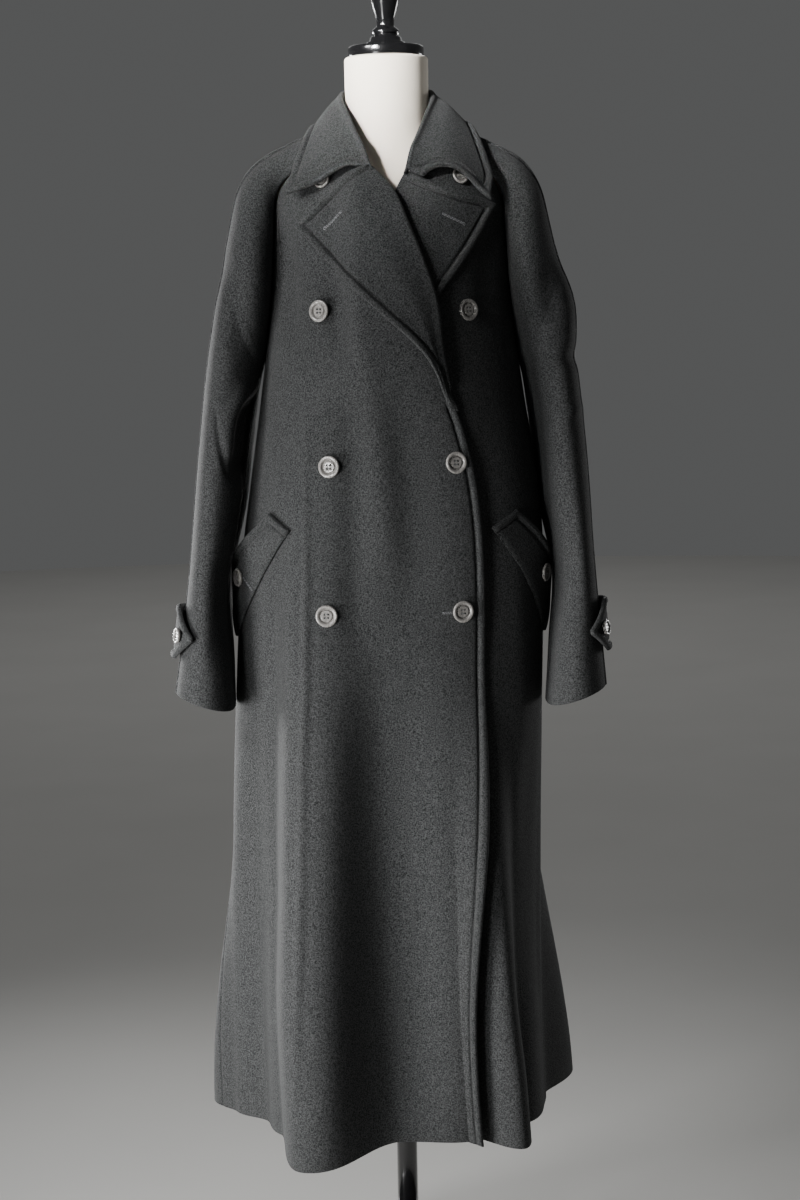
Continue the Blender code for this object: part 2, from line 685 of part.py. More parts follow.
def button(name, size, place, out):
    r = 0.5 * size
    profile = [(0.0, 0.0), (0.93 * r, BUTTON_BACK), (r, 0.0030), (0.88 * r, 0.0048), (0.66 * r, 0.0036),
               (0.0, 0.0036)]
    return turned(name, profile, BUTTON_STEPS, "button_dark", place, out)


def button_lift(panel, angle, height, size, out):
    """How far a button's back has to stand off its panel so that its rim clears the cloth."""
    middle = front_place(panel, angle, height, 0.0)
    ring = row_at(SECTIONS, height)
    turn_angle = math.degrees(0.5 * size / (0.5 * (ring.half_width + ring.front_depth)))
    rise = 0.0
    for k in range(12):
        way = math.tau * k / 12
        beside = angle + turn_angle * math.cos(way)
        above = height + 0.5 * size * math.sin(way)
        rim = front_place(panel, beside, above, 0.0)
        rise = max(rise, (rim - middle).dot(out) - BUTTON_BACK)
    return rise + 1.5 * SEAM_GAP


for spot in FRONT_BUTTONS:
    angle = angle_for(spot.across, spot.height)
    out = body_normal(angle, spot.height)
    size = COLLAR_BUTTON if "collar" in spot.name else FRONT_BUTTON
    lift = button_lift(spot.panel, angle, spot.height, size, out)
    button(spot.name, size, front_place(spot.panel, angle, spot.height, lift), out)
for side in SIDES:
    along, share = POCKET_BUTTON_ALONG, POCKET_BUTTON_SHARE
    out = normal_of(lambda u, v: flap_place(side, u, v, FLAP_WALL), along, share, 0.08, 0.10) * SIDES[side]
    button(f"button_pocket_{side}", POCKET_BUTTON,
           flap_place(side, along, share, FLAP_WALL) + out * 2.0 * SEAM_GAP, out)
    place, out = sleeve_round(TAB_MIDDLE + TAB_TILT * 0.22, 0.22)
    out.x *= SIDES[side]
    place = sided(side, place)
    button(f"button_cuff_{side}", CUFF_BUTTON, place + out * (LAYER_GAP + 0.006 + WALL + 0.0006), out)


# Dress form
def form_torso():
    """Rings of the body bridged into one closed, smooth solid."""
    count = 26
    mesh = bmesh.new()
    bmesh.ops.create_circle(mesh, cap_ends=False, radius=1.0, segments=FORM_STEPS)
    layers = [list(mesh.verts)]
    first_rim = rim = list(mesh.edges)
    for _ in range(count):
        made = bmesh.ops.extrude_edge_only(mesh, edges=rim)
        rim = [item for item in made["geom"] if isinstance(item, bmesh.types.BMEdge)]
        layers.append([item for item in made["geom"] if isinstance(item, bmesh.types.BMVert)])
    bmesh.ops.contextual_create(mesh, geom=first_rim)
    bmesh.ops.contextual_create(mesh, geom=rim)
    heights = [TORSO_BOTTOM + (1.480 - TORSO_BOTTOM) * i / 10 for i in range(10)]
    heights += [1.480 + (1.610 - 1.480) * i / (count - 11) for i in range(count - 10)] + [NECK_TOP]
    for layer, height in zip(layers, heights):
        ring = row_at(FORM, height)
        for vert in layer:
            core_depth = ring.core_front if vert.co.y < 0.0 else ring.core_back
            shoulder = 1.0 / math.hypot(vert.co.x / ring.shoulder, vert.co.y / ring.shoulder_depth)
            core = 1.0 / math.hypot(vert.co.x / ring.core_width, vert.co.y / core_depth)
            reach = (shoulder**8 + core**8) ** 0.125
            vert.co = (vert.co.x * reach, vert.co.y * reach, height)
    bmesh.ops.recalc_face_normals(mesh, faces=list(mesh.faces))
    data = bpy.data.meshes.new("form_torso")
    mesh.to_mesh(data)
    mesh.free()
    made = bpy.data.objects.new("form_torso", data)
    bpy.context.collection.objects.link(made)
    data.materials.append(material("form_cloth"))
    return made


form_torso()
plate = NECK_TOP + SEAM_GAP
knob = plate + 0.0138
turned("form_finial", [(0.0, plate), (0.0475, plate), (0.049, plate + 0.003), (0.049, knob - 0.0033),
                       (0.046, knob), (0.024, knob), (0.0235, knob + 0.005), (0.020, knob + 0.011),
                       (0.0165, knob + 0.0135), (0.0165, knob + 0.021), (0.0115, knob + 0.026),
                       (0.0115, knob + 0.029), (0.0150, knob + 0.043), (0.0200, knob + 0.060),
                       (0.0205, knob + 0.070), (0.0160, knob + 0.081), (0.0080, knob + 0.087),
                       (0.0, knob + 0.088)], 20, "stand_black")
hub_top = 0.060
turned("form_pole", [(0.0, hub_top + SEAM_GAP), (POLE_RADIUS, hub_top + SEAM_GAP),
                     (POLE_RADIUS, TORSO_BOTTOM - SEAM_GAP), (0.0, TORSO_BOTTOM - SEAM_GAP)],
       16, "stand_black")
turned("form_base", [(0.0, 0.0), (BASE_RADIUS - 0.004, 0.0), (BASE_RADIUS, 0.004), (BASE_RADIUS, 0.014),
                     (BASE_RADIUS - 0.010, 0.020), (0.040, 0.032), (0.026, 0.042), (0.024, hub_top),
                     (0.0, hub_top)], 24, "stand_black")
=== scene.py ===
"""Long double-breasted wool coat on a dress form, dressed for the render.

Metres, +Z up, the front towards -Y, the wearer's left towards +X, the floor at Z = 0.
"""
import math
from collections import namedtuple

import bmesh
import bpy
import numpy as np
from mathutils import Matrix, Vector


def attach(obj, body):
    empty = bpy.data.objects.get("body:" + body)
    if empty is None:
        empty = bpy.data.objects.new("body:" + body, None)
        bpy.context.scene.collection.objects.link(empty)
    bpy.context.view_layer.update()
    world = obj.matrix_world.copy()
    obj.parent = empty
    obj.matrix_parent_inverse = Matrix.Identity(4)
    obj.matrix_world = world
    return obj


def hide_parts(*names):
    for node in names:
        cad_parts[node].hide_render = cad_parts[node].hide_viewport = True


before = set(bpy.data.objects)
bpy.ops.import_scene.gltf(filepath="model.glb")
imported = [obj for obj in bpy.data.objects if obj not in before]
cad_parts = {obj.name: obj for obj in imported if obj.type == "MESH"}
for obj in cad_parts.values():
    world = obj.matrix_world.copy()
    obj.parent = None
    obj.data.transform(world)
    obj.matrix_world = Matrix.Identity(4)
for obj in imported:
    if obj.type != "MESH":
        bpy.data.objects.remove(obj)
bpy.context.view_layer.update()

# The stand: a heavy cast disc and a steel pole that carries the torso on its upper end.
# Both are turned, filled and sprayed with black gloss lacquer; the pole is pressed into the hub.
BASE_PROFILE = [(0.178, 0.0), (0.1835, 0.0012), (0.185, 0.004), (0.185, 0.0135), (0.1835, 0.0165),
                (0.176, 0.0197), (0.150, 0.0216), (0.110, 0.0248), (0.070, 0.0285), (0.045, 0.0310),
                (0.034, 0.0350), (0.0275, 0.0405), (0.0250, 0.0470), (0.0242, 0.0560), (0.0238, 0.0588),
                (0.0225, 0.0600)]
POLE_PROFILE = [(0.0132, 0.0603), (0.0140, 0.0611), (0.0140, 0.30), (0.0140, 0.60), (0.0140, 0.8589),
                (0.0132, 0.8597)]
TURNING_STEPS = 96
TURNED_EDGE_ANGLE = math.radians(50.0)


def srgb(code):
    """Linear colour of an sRGB hex value."""
    parts = [int(code[i:i + 2], 16) / 255.0 for i in (1, 3, 5)]
    return tuple(c / 12.92 if c <= 0.04045 else ((c + 0.055) / 1.055) ** 2.4 for c in parts) + (1.0,)


def add(tree, kind, values=None, links=None, **settings):
    """A shader node with its settings, its input values and the links into it."""
    node = tree.nodes.new(kind)
    for name, value in settings.items():
        setattr(node, name, value)
    for socket, value in (values or {}).items():
        node.inputs[socket].default_value = value
    for socket, source in (links or {}).items():
        tree.links.new(source, node.inputs[socket])
    return node


def new_finish(name, **values):
    """A material with its shader set: material, node tree, shader, and the object's own coordinates."""
    made = bpy.data.materials.new(name)
    made.use_nodes = True
    tree = made.node_tree
    shader = tree.nodes["Principled BSDF"]
    for socket, value in values.items():
        shader.inputs[socket.replace("_", " ")].default_value = value
    return made, tree, shader, add(tree, "ShaderNodeTexCoord").outputs["Object"]


def put(name, points, faces, finish):
    """A smooth-shaded mesh object from points and faces."""
    mesh = bpy.data.meshes.new(name)
    mesh.from_pydata(np.asarray(points).tolist(), [], faces)
    mesh.shade_smooth()
    mesh.materials.append(finish)
    made = bpy.data.objects.new(name, mesh)
    bpy.context.collection.objects.link(made)
    return made


def tube(name, rows, finish):
    """A closed round piece from rings of points, lowest ring first, its two ends capped."""
    count, around = rows.shape[:2]
    number = np.arange(count * around).reshape(count, around)
    following = np.roll(number, -1, axis=1)
    quads = np.stack([number[:-1], following[:-1], following[1:], number[1:]], -1).reshape(-1, 4)
    faces = quads.tolist() + [number[0][::-1].tolist(), number[-1].tolist()]
    return put(name, rows.reshape(-1, 3), faces, finish)


def turned(name, profile, finish):
    """A turned piece from (radius, height) points, lowest first."""
    way = np.arange(TURNING_STEPS) * math.tau / TURNING_STEPS
    radius, height = np.array(profile).T
    rows = np.stack([radius[:, None] * np.cos(way), radius[:, None] * np.sin(way),
                     np.repeat(height[:, None], TURNING_STEPS, axis=1)], -1)
    made = tube(name, rows, finish)
    made.data.set_sharp_from_angle(angle=TURNED_EDGE_ANGLE)
    return made


def stands_for(piece, node):
    """The piece rides with the part and stands for one node of it."""
    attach(piece, "root")
    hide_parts(node)


# Black gloss lacquer on metal: a deep black under a clear coat, faintly wavy from spraying,
# with finger-wide patches that are a little duller.
LACQUER_WAVE_MM = 45.0
lacquer, tree, shader, place = new_finish("black_gloss_lacquer", Base_Color=srgb("#0B0B0C"), IOR=1.5,
                                          Coat_Weight=0.6, Coat_Roughness=0.06)
patch = add(tree, "ShaderNodeTexNoise", {"Scale": 1000.0 / LACQUER_WAVE_MM, "Detail": 3.0}, {"Vector": place})
dull = add(tree, "ShaderNodeMapRange", {"To Min": 0.12, "To Max": 0.24}, {"Value": patch.outputs["Fac"]})
tree.links.new(dull.outputs["Result"], shader.inputs["Roughness"])
wave = add(tree, "ShaderNodeBump", {"Strength": 0.15, "Distance": 0.0004}, {"Height": patch.outputs["Fac"]})
tree.links.new(wave.outputs["Normal"], shader.inputs["Normal"])

stands_for(turned("stand_disc", BASE_PROFILE, lacquer), "form_base")
stands_for(turned("stand_pole", POLE_PROFILE, lacquer), "form_pole")

# The torso: a moulded shell of shoulders, chest, waist and hips with a straight neck.
# Fine cream cotton jersey is stretched over it and glued under the neck's black cap.
FormRing = namedtuple("FormRing", "height shoulder shoulder_depth core_width core_front core_back")
FORM = [
    FormRing(0.8600, 0.100, 0.050, 0.148, 0.106, 0.112),
    FormRing(0.9500, 0.100, 0.050, 0.156, 0.116, 0.118),
    FormRing(1.0600, 0.100, 0.050, 0.140, 0.108, 0.108),
    FormRing(1.1600, 0.090, 0.050, 0.112, 0.094, 0.090),
    FormRing(1.2700, 0.100, 0.050, 0.124, 0.108, 0.098),
    FormRing(1.3600, 0.110, 0.050, 0.136, 0.124, 0.108),
    FormRing(1.4400, 0.125, 0.050, 0.136, 0.110, 0.104),
    FormRing(1.4950, 0.145, 0.042, 0.112, 0.088, 0.086),
    FormRing(1.5300, 0.159, 0.034, 0.080, 0.070, 0.070),
    FormRing(1.5490, 0.147, 0.028, 0.066, 0.062, 0.062),
    FormRing(1.5645, 0.1105, 0.022, 0.058, 0.057, 0.057),
    FormRing(1.5790, 0.0560, 0.018, 0.0545, 0.055, 0.054),
    FormRing(1.6000, 0.0300, 0.018, 0.0540, 0.0545, 0.0535),
    FormRing(1.6705, 0.0300, 0.018, 0.0540, 0.0540, 0.0530),
]
NECK_TOP = 1.6705
NECK_RADIUS = 0.054
NECK_ROUNDING = 0.004
ROUNDING_SHARES = (0.2, 0.4, 0.6, 0.8, 1.0)
UNDERSIDE_SHARES = (0.90, 0.97)
TORSO_STEPS = 96
# Stretches of rings: lowest, highest, how many
TORSO_STRETCHES = [(FORM[0].height, 1.46, 50), (1.464, 1.612, 60), (1.616, NECK_TOP - NECK_ROUNDING, 14)]
# How sharply the shoulders' form runs into the body's
MEETING_POWER = 8


def read(table, keys):
    """Rows of a table at any values of its first column, on a smooth curve through the rows."""
    rows = np.array(table, dtype=float)
    first = rows[:, 0]
    keys = np.clip(np.asarray(keys, dtype=float), first[0], first[-1])
    i = np.clip(np.searchsorted(first, keys, side="right") - 1, 0, len(first) - 2)
    count = np.arange(len(first))
    low, high = np.maximum(count - 1, 0), np.minimum(count + 1, len(first) - 1)
    slope = (rows[high] - rows[low]) / (first[high] - first[low])[:, None]
    span = (first[i + 1] - first[i])[..., None]
    t = (keys - first[i])[..., None] / span
    values = ((2 * t**3 - 3 * t**2 + 1) * rows[i] + (t**3 - 2 * t**2 + t) * span * slope[i]
              + (3 * t**2 - 2 * t**3) * rows[i + 1] + (t**3 - t**2) * span * slope[i + 1])
    return type(table[0])(*np.moveaxis(values, -1, 0))


def torso_rings():
    """Rings of the torso, closed towards its axis at both ends, the neck's edge rounded."""
    heights = np.concatenate([np.linspace(*stretch) for stretch in TORSO_STRETCHES])
    ring = read(FORM, heights[:, None])
    way = np.arange(TORSO_STEPS) * math.tau / TORSO_STEPS
    x, y = np.cos(way), np.sin(way)
    core_depth = np.where(y < 0.0, ring.core_front, ring.core_back)
    shoulder = 1.0 / np.hypot(x / ring.shoulder, y / ring.shoulder_depth)
    core = 1.0 / np.hypot(x / ring.core_width, y / core_depth)
    reach = (shoulder**MEETING_POWER + core**MEETING_POWER) ** (1.0 / MEETING_POWER)
    rings = np.stack([x * reach, y * reach, np.repeat(heights[:, None], TORSO_STEPS, axis=1)], -1)
    top = []
    for share in ROUNDING_SHARES:
        inset = NECK_ROUNDING * (1.0 - math.cos(share * math.pi / 2)) / NECK_RADIUS
        rise = NECK_ROUNDING * math.sin(share * math.pi / 2)
        top.append(rings[-1] * (1.0 - inset, 1.0 - inset, 1.0) + (0.0, 0.0, rise))
    low = [rings[0] * (share, share, 1.0) for share in UNDERSIDE_SHARES]
    return np.concatenate([np.array(low), rings, np.array(top)])


# Cream cotton jersey: warm white, a fine rib of knitted loops, soft and matt with a faint nap.
# The loops are about 0.8 mm apart; drawn at 1.6 mm so that they show.
JERSEY_LOOP_MM = 1.6
SMUDGE_MM = 60.0
# Sockets of a mix node that take its share and two colours, and the one that gives the mixed colour
SHARE, COLOUR_A, COLOUR_B, MIXED = 0, 6, 7, 2
jersey, tree, shader, place = new_finish("cream_cotton_jersey", Roughness=0.78, IOR=1.45, Sheen_Weight=0.25,
                                         Sheen_Roughness=0.5)
smudge = add(tree, "ShaderNodeTexNoise", {"Scale": 1000.0 / SMUDGE_MM, "Detail": 4.0, "Roughness": 0.6},
             {"Vector": place})
cream = add(tree, "ShaderNodeMix", {COLOUR_A: srgb("#EFE6D6"), COLOUR_B: srgb("#E3D8C5")},
            {SHARE: smudge.outputs["Fac"]}, data_type="RGBA")
tree.links.new(cream.outputs[MIXED], shader.inputs["Base Color"])
loops = add(tree, "ShaderNodeTexVoronoi", {"Scale": 1000.0 / JERSEY_LOOP_MM}, {"Vector": place})
knit = add(tree, "ShaderNodeBump", {"Strength": 0.25, "Distance": 0.0002},
           {"Height": loops.outputs["Distance"]})
tree.links.new(knit.outputs["Normal"], shader.inputs["Normal"])

stands_for(tube("torso_shell", torso_rings(), jersey), "form_torso")

# The neck's cap: a flat turned plate with a stepped collar, a bead and a tapering knob on top.
# It is one piece of wood, turned and lacquered black like the stand, and screwed on the neck.
CAP_GAP = 0.0003
PLATE_THICKNESS = 0.0138
PLATE_TOP = NECK_TOP + CAP_GAP + PLATE_THICKNESS
CAP_PROFILE = [(0.0468, -0.0138), (0.0485, -0.0132), (0.0490, -0.0115), (0.0490, -0.0036), (0.0483, -0.0012),
               (0.0465, -0.0001), (0.0300, 0.0004), (0.0272, 0.0008), (0.0262, 0.0022), (0.0250, 0.0044),
               (0.0215, 0.0062), (0.0208, 0.0072), (0.0203, 0.0105), (0.0180, 0.0122), (0.0157, 0.0132),
               (0.0157, 0.0146), (0.0172, 0.0158), (0.0178, 0.0178), (0.0172, 0.0200), (0.0150, 0.0222),
               (0.0122, 0.0240), (0.0113, 0.0262), (0.0114, 0.0300), (0.0126, 0.0360), (0.0148, 0.0440),
               (0.0172, 0.0520), (0.0194, 0.0600), (0.0205, 0.0670), (0.0203, 0.0730), (0.0180, 0.0785),
               (0.0140, 0.0830), (0.0085, 0.0862), (0.0030, 0.0878)]
stands_for(turned("neck_cap", [(r, PLATE_TOP + z) for r, z in CAP_PROFILE], lacquer), "form_finial")

# The back: one wide panel of heavy milled wool from side seam to side seam, hanging from the neck
# in deep loose folds. It is sewn to the fronts at the sides and to the sleeves along slanting seams.
WALL = 0.003
SEAM_GAP = 0.0003
HEM_HEIGHT = 0.266
UNDERARM_HEIGHT = 1.275
BACK_TOP_HEIGHT = 1.576
SIDE_SEAM_ANGLE = 92.0
Section = namedtuple("Section", "height shift half_width front_depth back_depth")
SECTIONS = [
    Section(0.240, -0.016, 0.217, 0.143, 0.165),
    Section(0.450, -0.020, 0.213, 0.143, 0.158),
    Section(0.650, -0.018, 0.208, 0.144, 0.150),
    Section(0.820, -0.013, 0.205, 0.145, 0.145),
    Section(1.020, -0.004, 0.200, 0.147, 0.138),
    Section(1.120, 0.000, 0.190, 0.147, 0.134),
    Section(1.240, 0.000, 0.172, 0.146, 0.130),
    Section(1.360, 0.000, 0.157, 0.139, 0.128),
    Section(1.440, 0.000, 0.155, 0.124, 0.122),
    Section(1.500, 0.000, 0.152, 0.106, 0.106),
    Section(1.530, 0.000, 0.133, 0.094, 0.094),
    Section(1.555, 0.000, 0.100, 0.081, 0.080),
    Section(1.575, 0.000, 0.068, 0.070, 0.068),
    Section(1.595, 0.000, 0.060, 0.062, 0.060),
]
Fold = namedtuple("Fold", "hem_angle top_angle lift right_half left_half top_height dip")
FOLDS = [
    Fold(-26.5, -34.5, 0.066, 16.0, 30.0, 1.240, 0.017),
    Fold(-62.0, -58.0, -0.024, 24.0, 24.0, 0.950, 0.000),
    Fold(-100.0, -96.0, 0.036, 17.0, 17.0, 0.640, 0.000),
    Fold(-141.0, -138.0, 0.048, 20.0, 20.0, 0.980, 0.004),
    Fold(179.0, 179.0, 0.050, 19.0, 19.0, 1.060, 0.004),
    Fold(124.0, 126.0, 0.092, 23.0, 23.0, 0.800, 0.000),
    Fold(84.0, 78.0, -0.010, 26.0, 26.0, 0.750, 0.000),
    Fold(41.0, 37.0, 0.058, 15.0, 15.0, 0.900, 0.006),
]
# Fullness of the back beside each sleeve
FULL_ANGLE = 114.0
FULL_HALF_ANGLE = 22.0
FULL_HEIGHT = 1.050
FULL_HALF_HEIGHT = 0.220
FULL_LIFT = 0.008
Raglan = namedtuple("Raglan", "height front_angle back_angle")
RAGLAN = [
    Raglan(1.275, 92.0, 92.0),
    Raglan(1.320, 86.0, 100.0),
    Raglan(1.380, 79.0, 106.0),
    Raglan(1.440, 74.0, 110.0),
    Raglan(1.490, 70.0, 113.0),
    Raglan(1.530, 62.0, 120.0),
    Raglan(1.555, 53.0, 129.0),
    Raglan(1.578, 47.0, 134.0),
]
# Steps of the points beside an edge that is turned and stitched, beside a sewn seam, beside a plain hem
RIM_STEPS = np.array([0.0, 0.3, 0.8, 1.5, 2.4, 3.6, 5.2, 7.0, 8.4, 9.4, 10.2, 11.0, 11.8, 12.8, 14.4,
                      17.0]) / 1000.0
SEAM_STEPS = np.array([0.0, 0.7, 1.5, 2.5, 4.0, 7.0]) / 1000.0
HEM_STEPS = np.array([0.0, 0.25, 0.7, 1.3, 2.0, 3.5, 6.0]) / 1000.0
RIM_WIDTH = 0.0110
RIM_PUFF = 0.0026
RIM_ROUNDING = 0.0036
STITCH_DEPTH = 0.0023
STITCH_SPREAD = 0.0016
SEAM_DIP = 0.0016
SEAM_SPREAD = 0.0018
# A rim swells over this width beside its stitches, and less on its back
RIM_FADE = 0.005
BACK_SWELL = 0.3
# A free edge is rounded almost to a line
EDGE_LIMIT = 0.997
# How a fold opens from its top to the hem, and how far up the hem's dip reaches
FOLD_OPENING = 0.8
DIP_REACH = 0.30
# Share of a row that the closer points beside its two ends may take
CLOSE_SHARE = 0.8
SLIP_SHARE = 0.9
FINE_STEPS = 301
PANEL_ROWS = 250
BACK_COLUMNS = 120
# Share of a crease's length over which each end fades
CREASE_FADE = 0.3


def smooth(t):
    """0 to 1 with soft ends."""
    t = np.clip(t, 0.0, 1.0)
    return t * t * (3.0 - 2.0 * t)


Ramp = namedtuple("Ramp", "start span")


def ramp(value, over):
    """0 to 1 with soft ends, from a start over a span; a span below zero runs the other way."""
    return smooth((value - over.start) / over.span)


def bump(t):
    """1 in the middle, 0 from -1 outwards and from 1 outwards."""
    return 0.5 + 0.5 * np.cos(np.pi * np.minimum(np.abs(t), 1.0))


def trough(distance, depth, width):
    """A soft hollow beside a line."""
    return depth * np.exp(-((distance / width) ** 2))


def unit(vectors):
    """Vectors brought to length one."""
    return vectors / np.linalg.norm(vectors, axis=-1, keepdims=True)


def body(angle, height, folds=FOLDS):
    """Points of the coat's outer face on the body, for angles and heights."""
    angle, height = np.broadcast_arrays(np.asarray(angle, float), np.asarray(height, float))
    ring = read(SECTIONS, height)
    a = np.radians(angle)
    depth = np.where(np.cos(a) > 0.0, ring.front_depth, ring.back_depth)
    out = unit(np.stack([np.sin(a) * depth, -np.cos(a) * ring.half_width], -1))
    lift, drop = 0.0, 0.0
    for fold in folds:
        down = np.clip((fold.top_height - height) / (fold.top_height - HEM_HEIGHT), 0.0, None)
        middle = fold.top_angle + (fold.hem_angle - fold.top_angle) * np.minimum(down, 1.0)
        beside = (angle - middle + 180.0) % 360.0 - 180.0
        at_hem = (angle - fold.hem_angle + 180.0) % 360.0 - 180.0
        half, hem_half = [np.where(off > 0.0, fold.left_half, fold.right_half) for off in (beside, at_hem)]
        lift = lift + fold.lift * bump(beside / half) * smooth(down) ** FOLD_OPENING
        drop = drop + fold.dip * bump(at_hem / hem_half)
    drop = drop * smooth(1.0 - (height - HEM_HEIGHT) / DIP_REACH)
    beside = bump((np.abs((angle + 180.0) % 360.0 - 180.0) - FULL_ANGLE) / FULL_HALF_ANGLE)
    lift = lift + FULL_LIFT * beside * bump((height - FULL_HEIGHT) / FULL_HALF_HEIGHT)
    return np.stack([ring.shift + ring.half_width * np.sin(a) + out[..., 0] * lift,
                     -depth * np.cos(a) + out[..., 1] * lift, height - drop], -1)


def outward(grid):
    """Directions square to a grid of points, on the side that its rows and columns turn to."""
    return unit(np.cross(np.gradient(grid, axis=1), np.gradient(grid, axis=0)))


def wall(name, outer, inner, finish):
    """A closed wall of cloth between two grids of points."""
    facing = np.cross(outer[1:, :-1] - outer[:-1, :-1], outer[:-1, 1:] - outer[:-1, :-1])
    if np.sum(facing * (outer - inner)[:-1, :-1]) > 0.0:
        outer, inner = outer[:, ::-1], inner[:, ::-1]
    rows, columns = outer.shape[:2]
    number = np.arange(rows * columns).reshape(rows, columns)
    face = np.stack([number[:-1, :-1], number[:-1, 1:], number[1:, 1:], number[1:, :-1]], -1).reshape(-1, 4)
    border = np.concatenate([number[0, :-1], number[:-1, -1], number[-1, :0:-1], number[:0:-1, 0]])
    following = np.roll(border, -1)
    rim = np.stack([following, border, border + rows * columns, following + rows * columns], -1)
    faces = np.concatenate([face, face[:, ::-1] + rows * columns, rim]).tolist()
    return put(name, np.concatenate([outer.reshape(-1, 3), inner.reshape(-1, 3)]), faces, finish)


def run_lengths(rows):
    """Length along each row of points, from its start."""
    steps = np.linalg.norm(np.diff(rows, axis=1), axis=2)
    return np.concatenate([np.zeros((len(steps), 1)), np.cumsum(steps, axis=1)], axis=1)


def spread(fine_points, fine_keys, near_start, near_stop, middle):
    """For rows of fine points: keys close together beside both ends, even between, and the two distances."""
    keys, from_start, from_stop = [], [], []
    for row_length, row_keys in zip(run_lengths(fine_points), fine_keys):
        total = row_length[-1]
        scale = min(1.0, CLOSE_SHARE * total / (near_start[-1] + near_stop[-1]))
        start, stop = near_start * scale, total - near_stop[::-1] * scale
        wanted = np.concatenate([start, np.linspace(start[-1], stop[0], middle + 2)[1:-1], stop])
        keys.append(np.interp(wanted, row_length, row_keys))
        from_start.append(wanted)
        from_stop.append(total - wanted)
    return np.array(keys), np.array(from_start), np.array(from_stop)


def panel_angles(surface, heights, start, stop, near_start, near_stop, middle):
    """Angles of a body panel's points, with their distances from its two edges."""
    fine = np.linspace(0.0, 1.0, FINE_STEPS)
    angles = start[:, None] + (stop - start)[:, None] * fine
    return spread(surface(angles, heights[:, None]), angles, near_start, near_stop, middle)


def seam_slip(height):
    """Half a seam's gap as an angle of the ring."""
    ring = read(SECTIONS, height)
    return np.degrees(SLIP_SHARE * SEAM_GAP / (0.5 * (ring.half_width + ring.front_depth)))


def back_outer(height):
    """Angle of the back's edge: the side seam, then the sleeve's seam."""
    seam = np.where(height <= UNDERARM_HEIGHT, SIDE_SEAM_ANGLE, read(RAGLAN, height).back_angle)
    return seam + seam_slip(height)


def edge_lifts(stitched, free):
    """How far the outer and the inner face move beside a stitched rim and a free edge."""
    puff = RIM_PUFF * smooth((RIM_WIDTH - stitched) / RIM_FADE)
    sunk = trough(stitched - RIM_WIDTH, STITCH_DEPTH, STITCH_SPREAD)
    radius = np.where(puff > 0.0, RIM_ROUNDING, 0.5 * WALL)
    near = EDGE_LIMIT * np.clip(1.0 - free / radius, 0.0, 1.0)
    thick = np.sqrt(1.0 - near**2)
    outer = (0.5 * WALL + puff) * thick - 0.5 * WALL - sunk
    return outer, -0.5 * WALL - (0.5 * WALL + BACK_SWELL * puff) * thick


def seam_lift(distance):
    """How far the outer face sinks beside a sewn seam."""
    return -trough(distance, SEAM_DIP, SEAM_SPREAD)


Crease = namedtuple("Crease", "lift width path")


def crease_lift(points, creases):
    """Soft troughs and ridges along paths of (x, z) points, fading out at both ends."""
    total = np.zeros(points.shape[:-1])
    Stop = namedtuple("Stop", "along across")
    for crease in creases:
        path = np.array(crease.path)
        along_axis = int(np.argmax(np.ptp(path, axis=0)))
        path = path[np.argsort(path[:, along_axis])]
        stops = [Stop(spot[along_axis], spot[1 - along_axis]) for spot in path]
        flat = points[..., (0, 2)]
        along, across = flat[..., along_axis], flat[..., 1 - along_axis]
        share = (along - stops[0].along) / (stops[-1].along - stops[0].along)
        fade = smooth(share / CREASE_FADE) * smooth((1.0 - share) / CREASE_FADE)
        total += trough(across - read(stops, along).across, crease.lift, crease.width) * fade
    return total


BACK_CREASES = [
    Crease(-0.006, 0.030, [(-0.095, 1.44), (-0.080, 1.34), (-0.085, 1.24)]),
    Crease(-0.006, 0.028, [(0.100, 1.45), (0.084, 1.35), (0.088, 1.22)]),
    Crease(0.004, 0.034, [(0.010, 1.48), (0.005, 1.30), (0.012, 1.10)]),
]

# Milled wool: closely felted charcoal fibres with a short uneven nap, dull from the front and paler
# at the rim. Fibre tufts are about 0.6 mm across; drawn at 1.7 mm so that they show. The dye and
# the nap vary in clouds of a centimetre and of a hand's width.
TUFT_MM = 1.7
CLOUD_MM = 9.0
PATCH_MM = 110.0
CLOUD_SHARE = 0.8
wool, tree, shader, place = new_finish("charcoal_milled_wool", Roughness=0.92, IOR=1.45, Sheen_Weight=0.10,
                                       Sheen_Roughness=0.5, Sheen_Tint=srgb("#A4A5A5"),
                                       Specular_IOR_Level=0.2)
tuft = add(tree, "ShaderNodeTexNoise", {"Scale": 1000.0 / TUFT_MM, "Detail": 2.0, "Roughness": 0.6},
           {"Vector": place})
cloud = add(tree, "ShaderNodeTexNoise", {"Scale": 1000.0 / CLOUD_MM, "Detail": 3.0, "Roughness": 0.6},
            {"Vector": place})
patch = add(tree, "ShaderNodeTexNoise", {"Scale": 1000.0 / PATCH_MM, "Detail": 2.0},
            {"Vector": place})
grain = add(tree, "ShaderNodeMapRange", {"From Min": 0.35, "From Max": 0.66}, {"Value": tuft.outputs["Fac"]})
both = add(tree, "ShaderNodeMath", links={0: cloud.outputs["Fac"], 1: patch.outputs["Fac"]}, operation="ADD")
drift = add(tree, "ShaderNodeMapRange", {"From Min": 0.70, "From Max": 1.30},
            {"Value": both.outputs["Value"]})
dye = add(tree, "ShaderNodeMix", {COLOUR_A: srgb("#111112"), COLOUR_B: srgb("#161717")},
          {SHARE: drift.outputs["Result"]}, data_type="RGBA")
fibre = add(tree, "ShaderNodeMix", {COLOUR_B: srgb("#3E3F3F")},
            {SHARE: grain.outputs["Result"], COLOUR_A: dye.outputs[MIXED]}, data_type="RGBA")
tree.links.new(fibre.outputs[MIXED], shader.inputs["Base Color"])
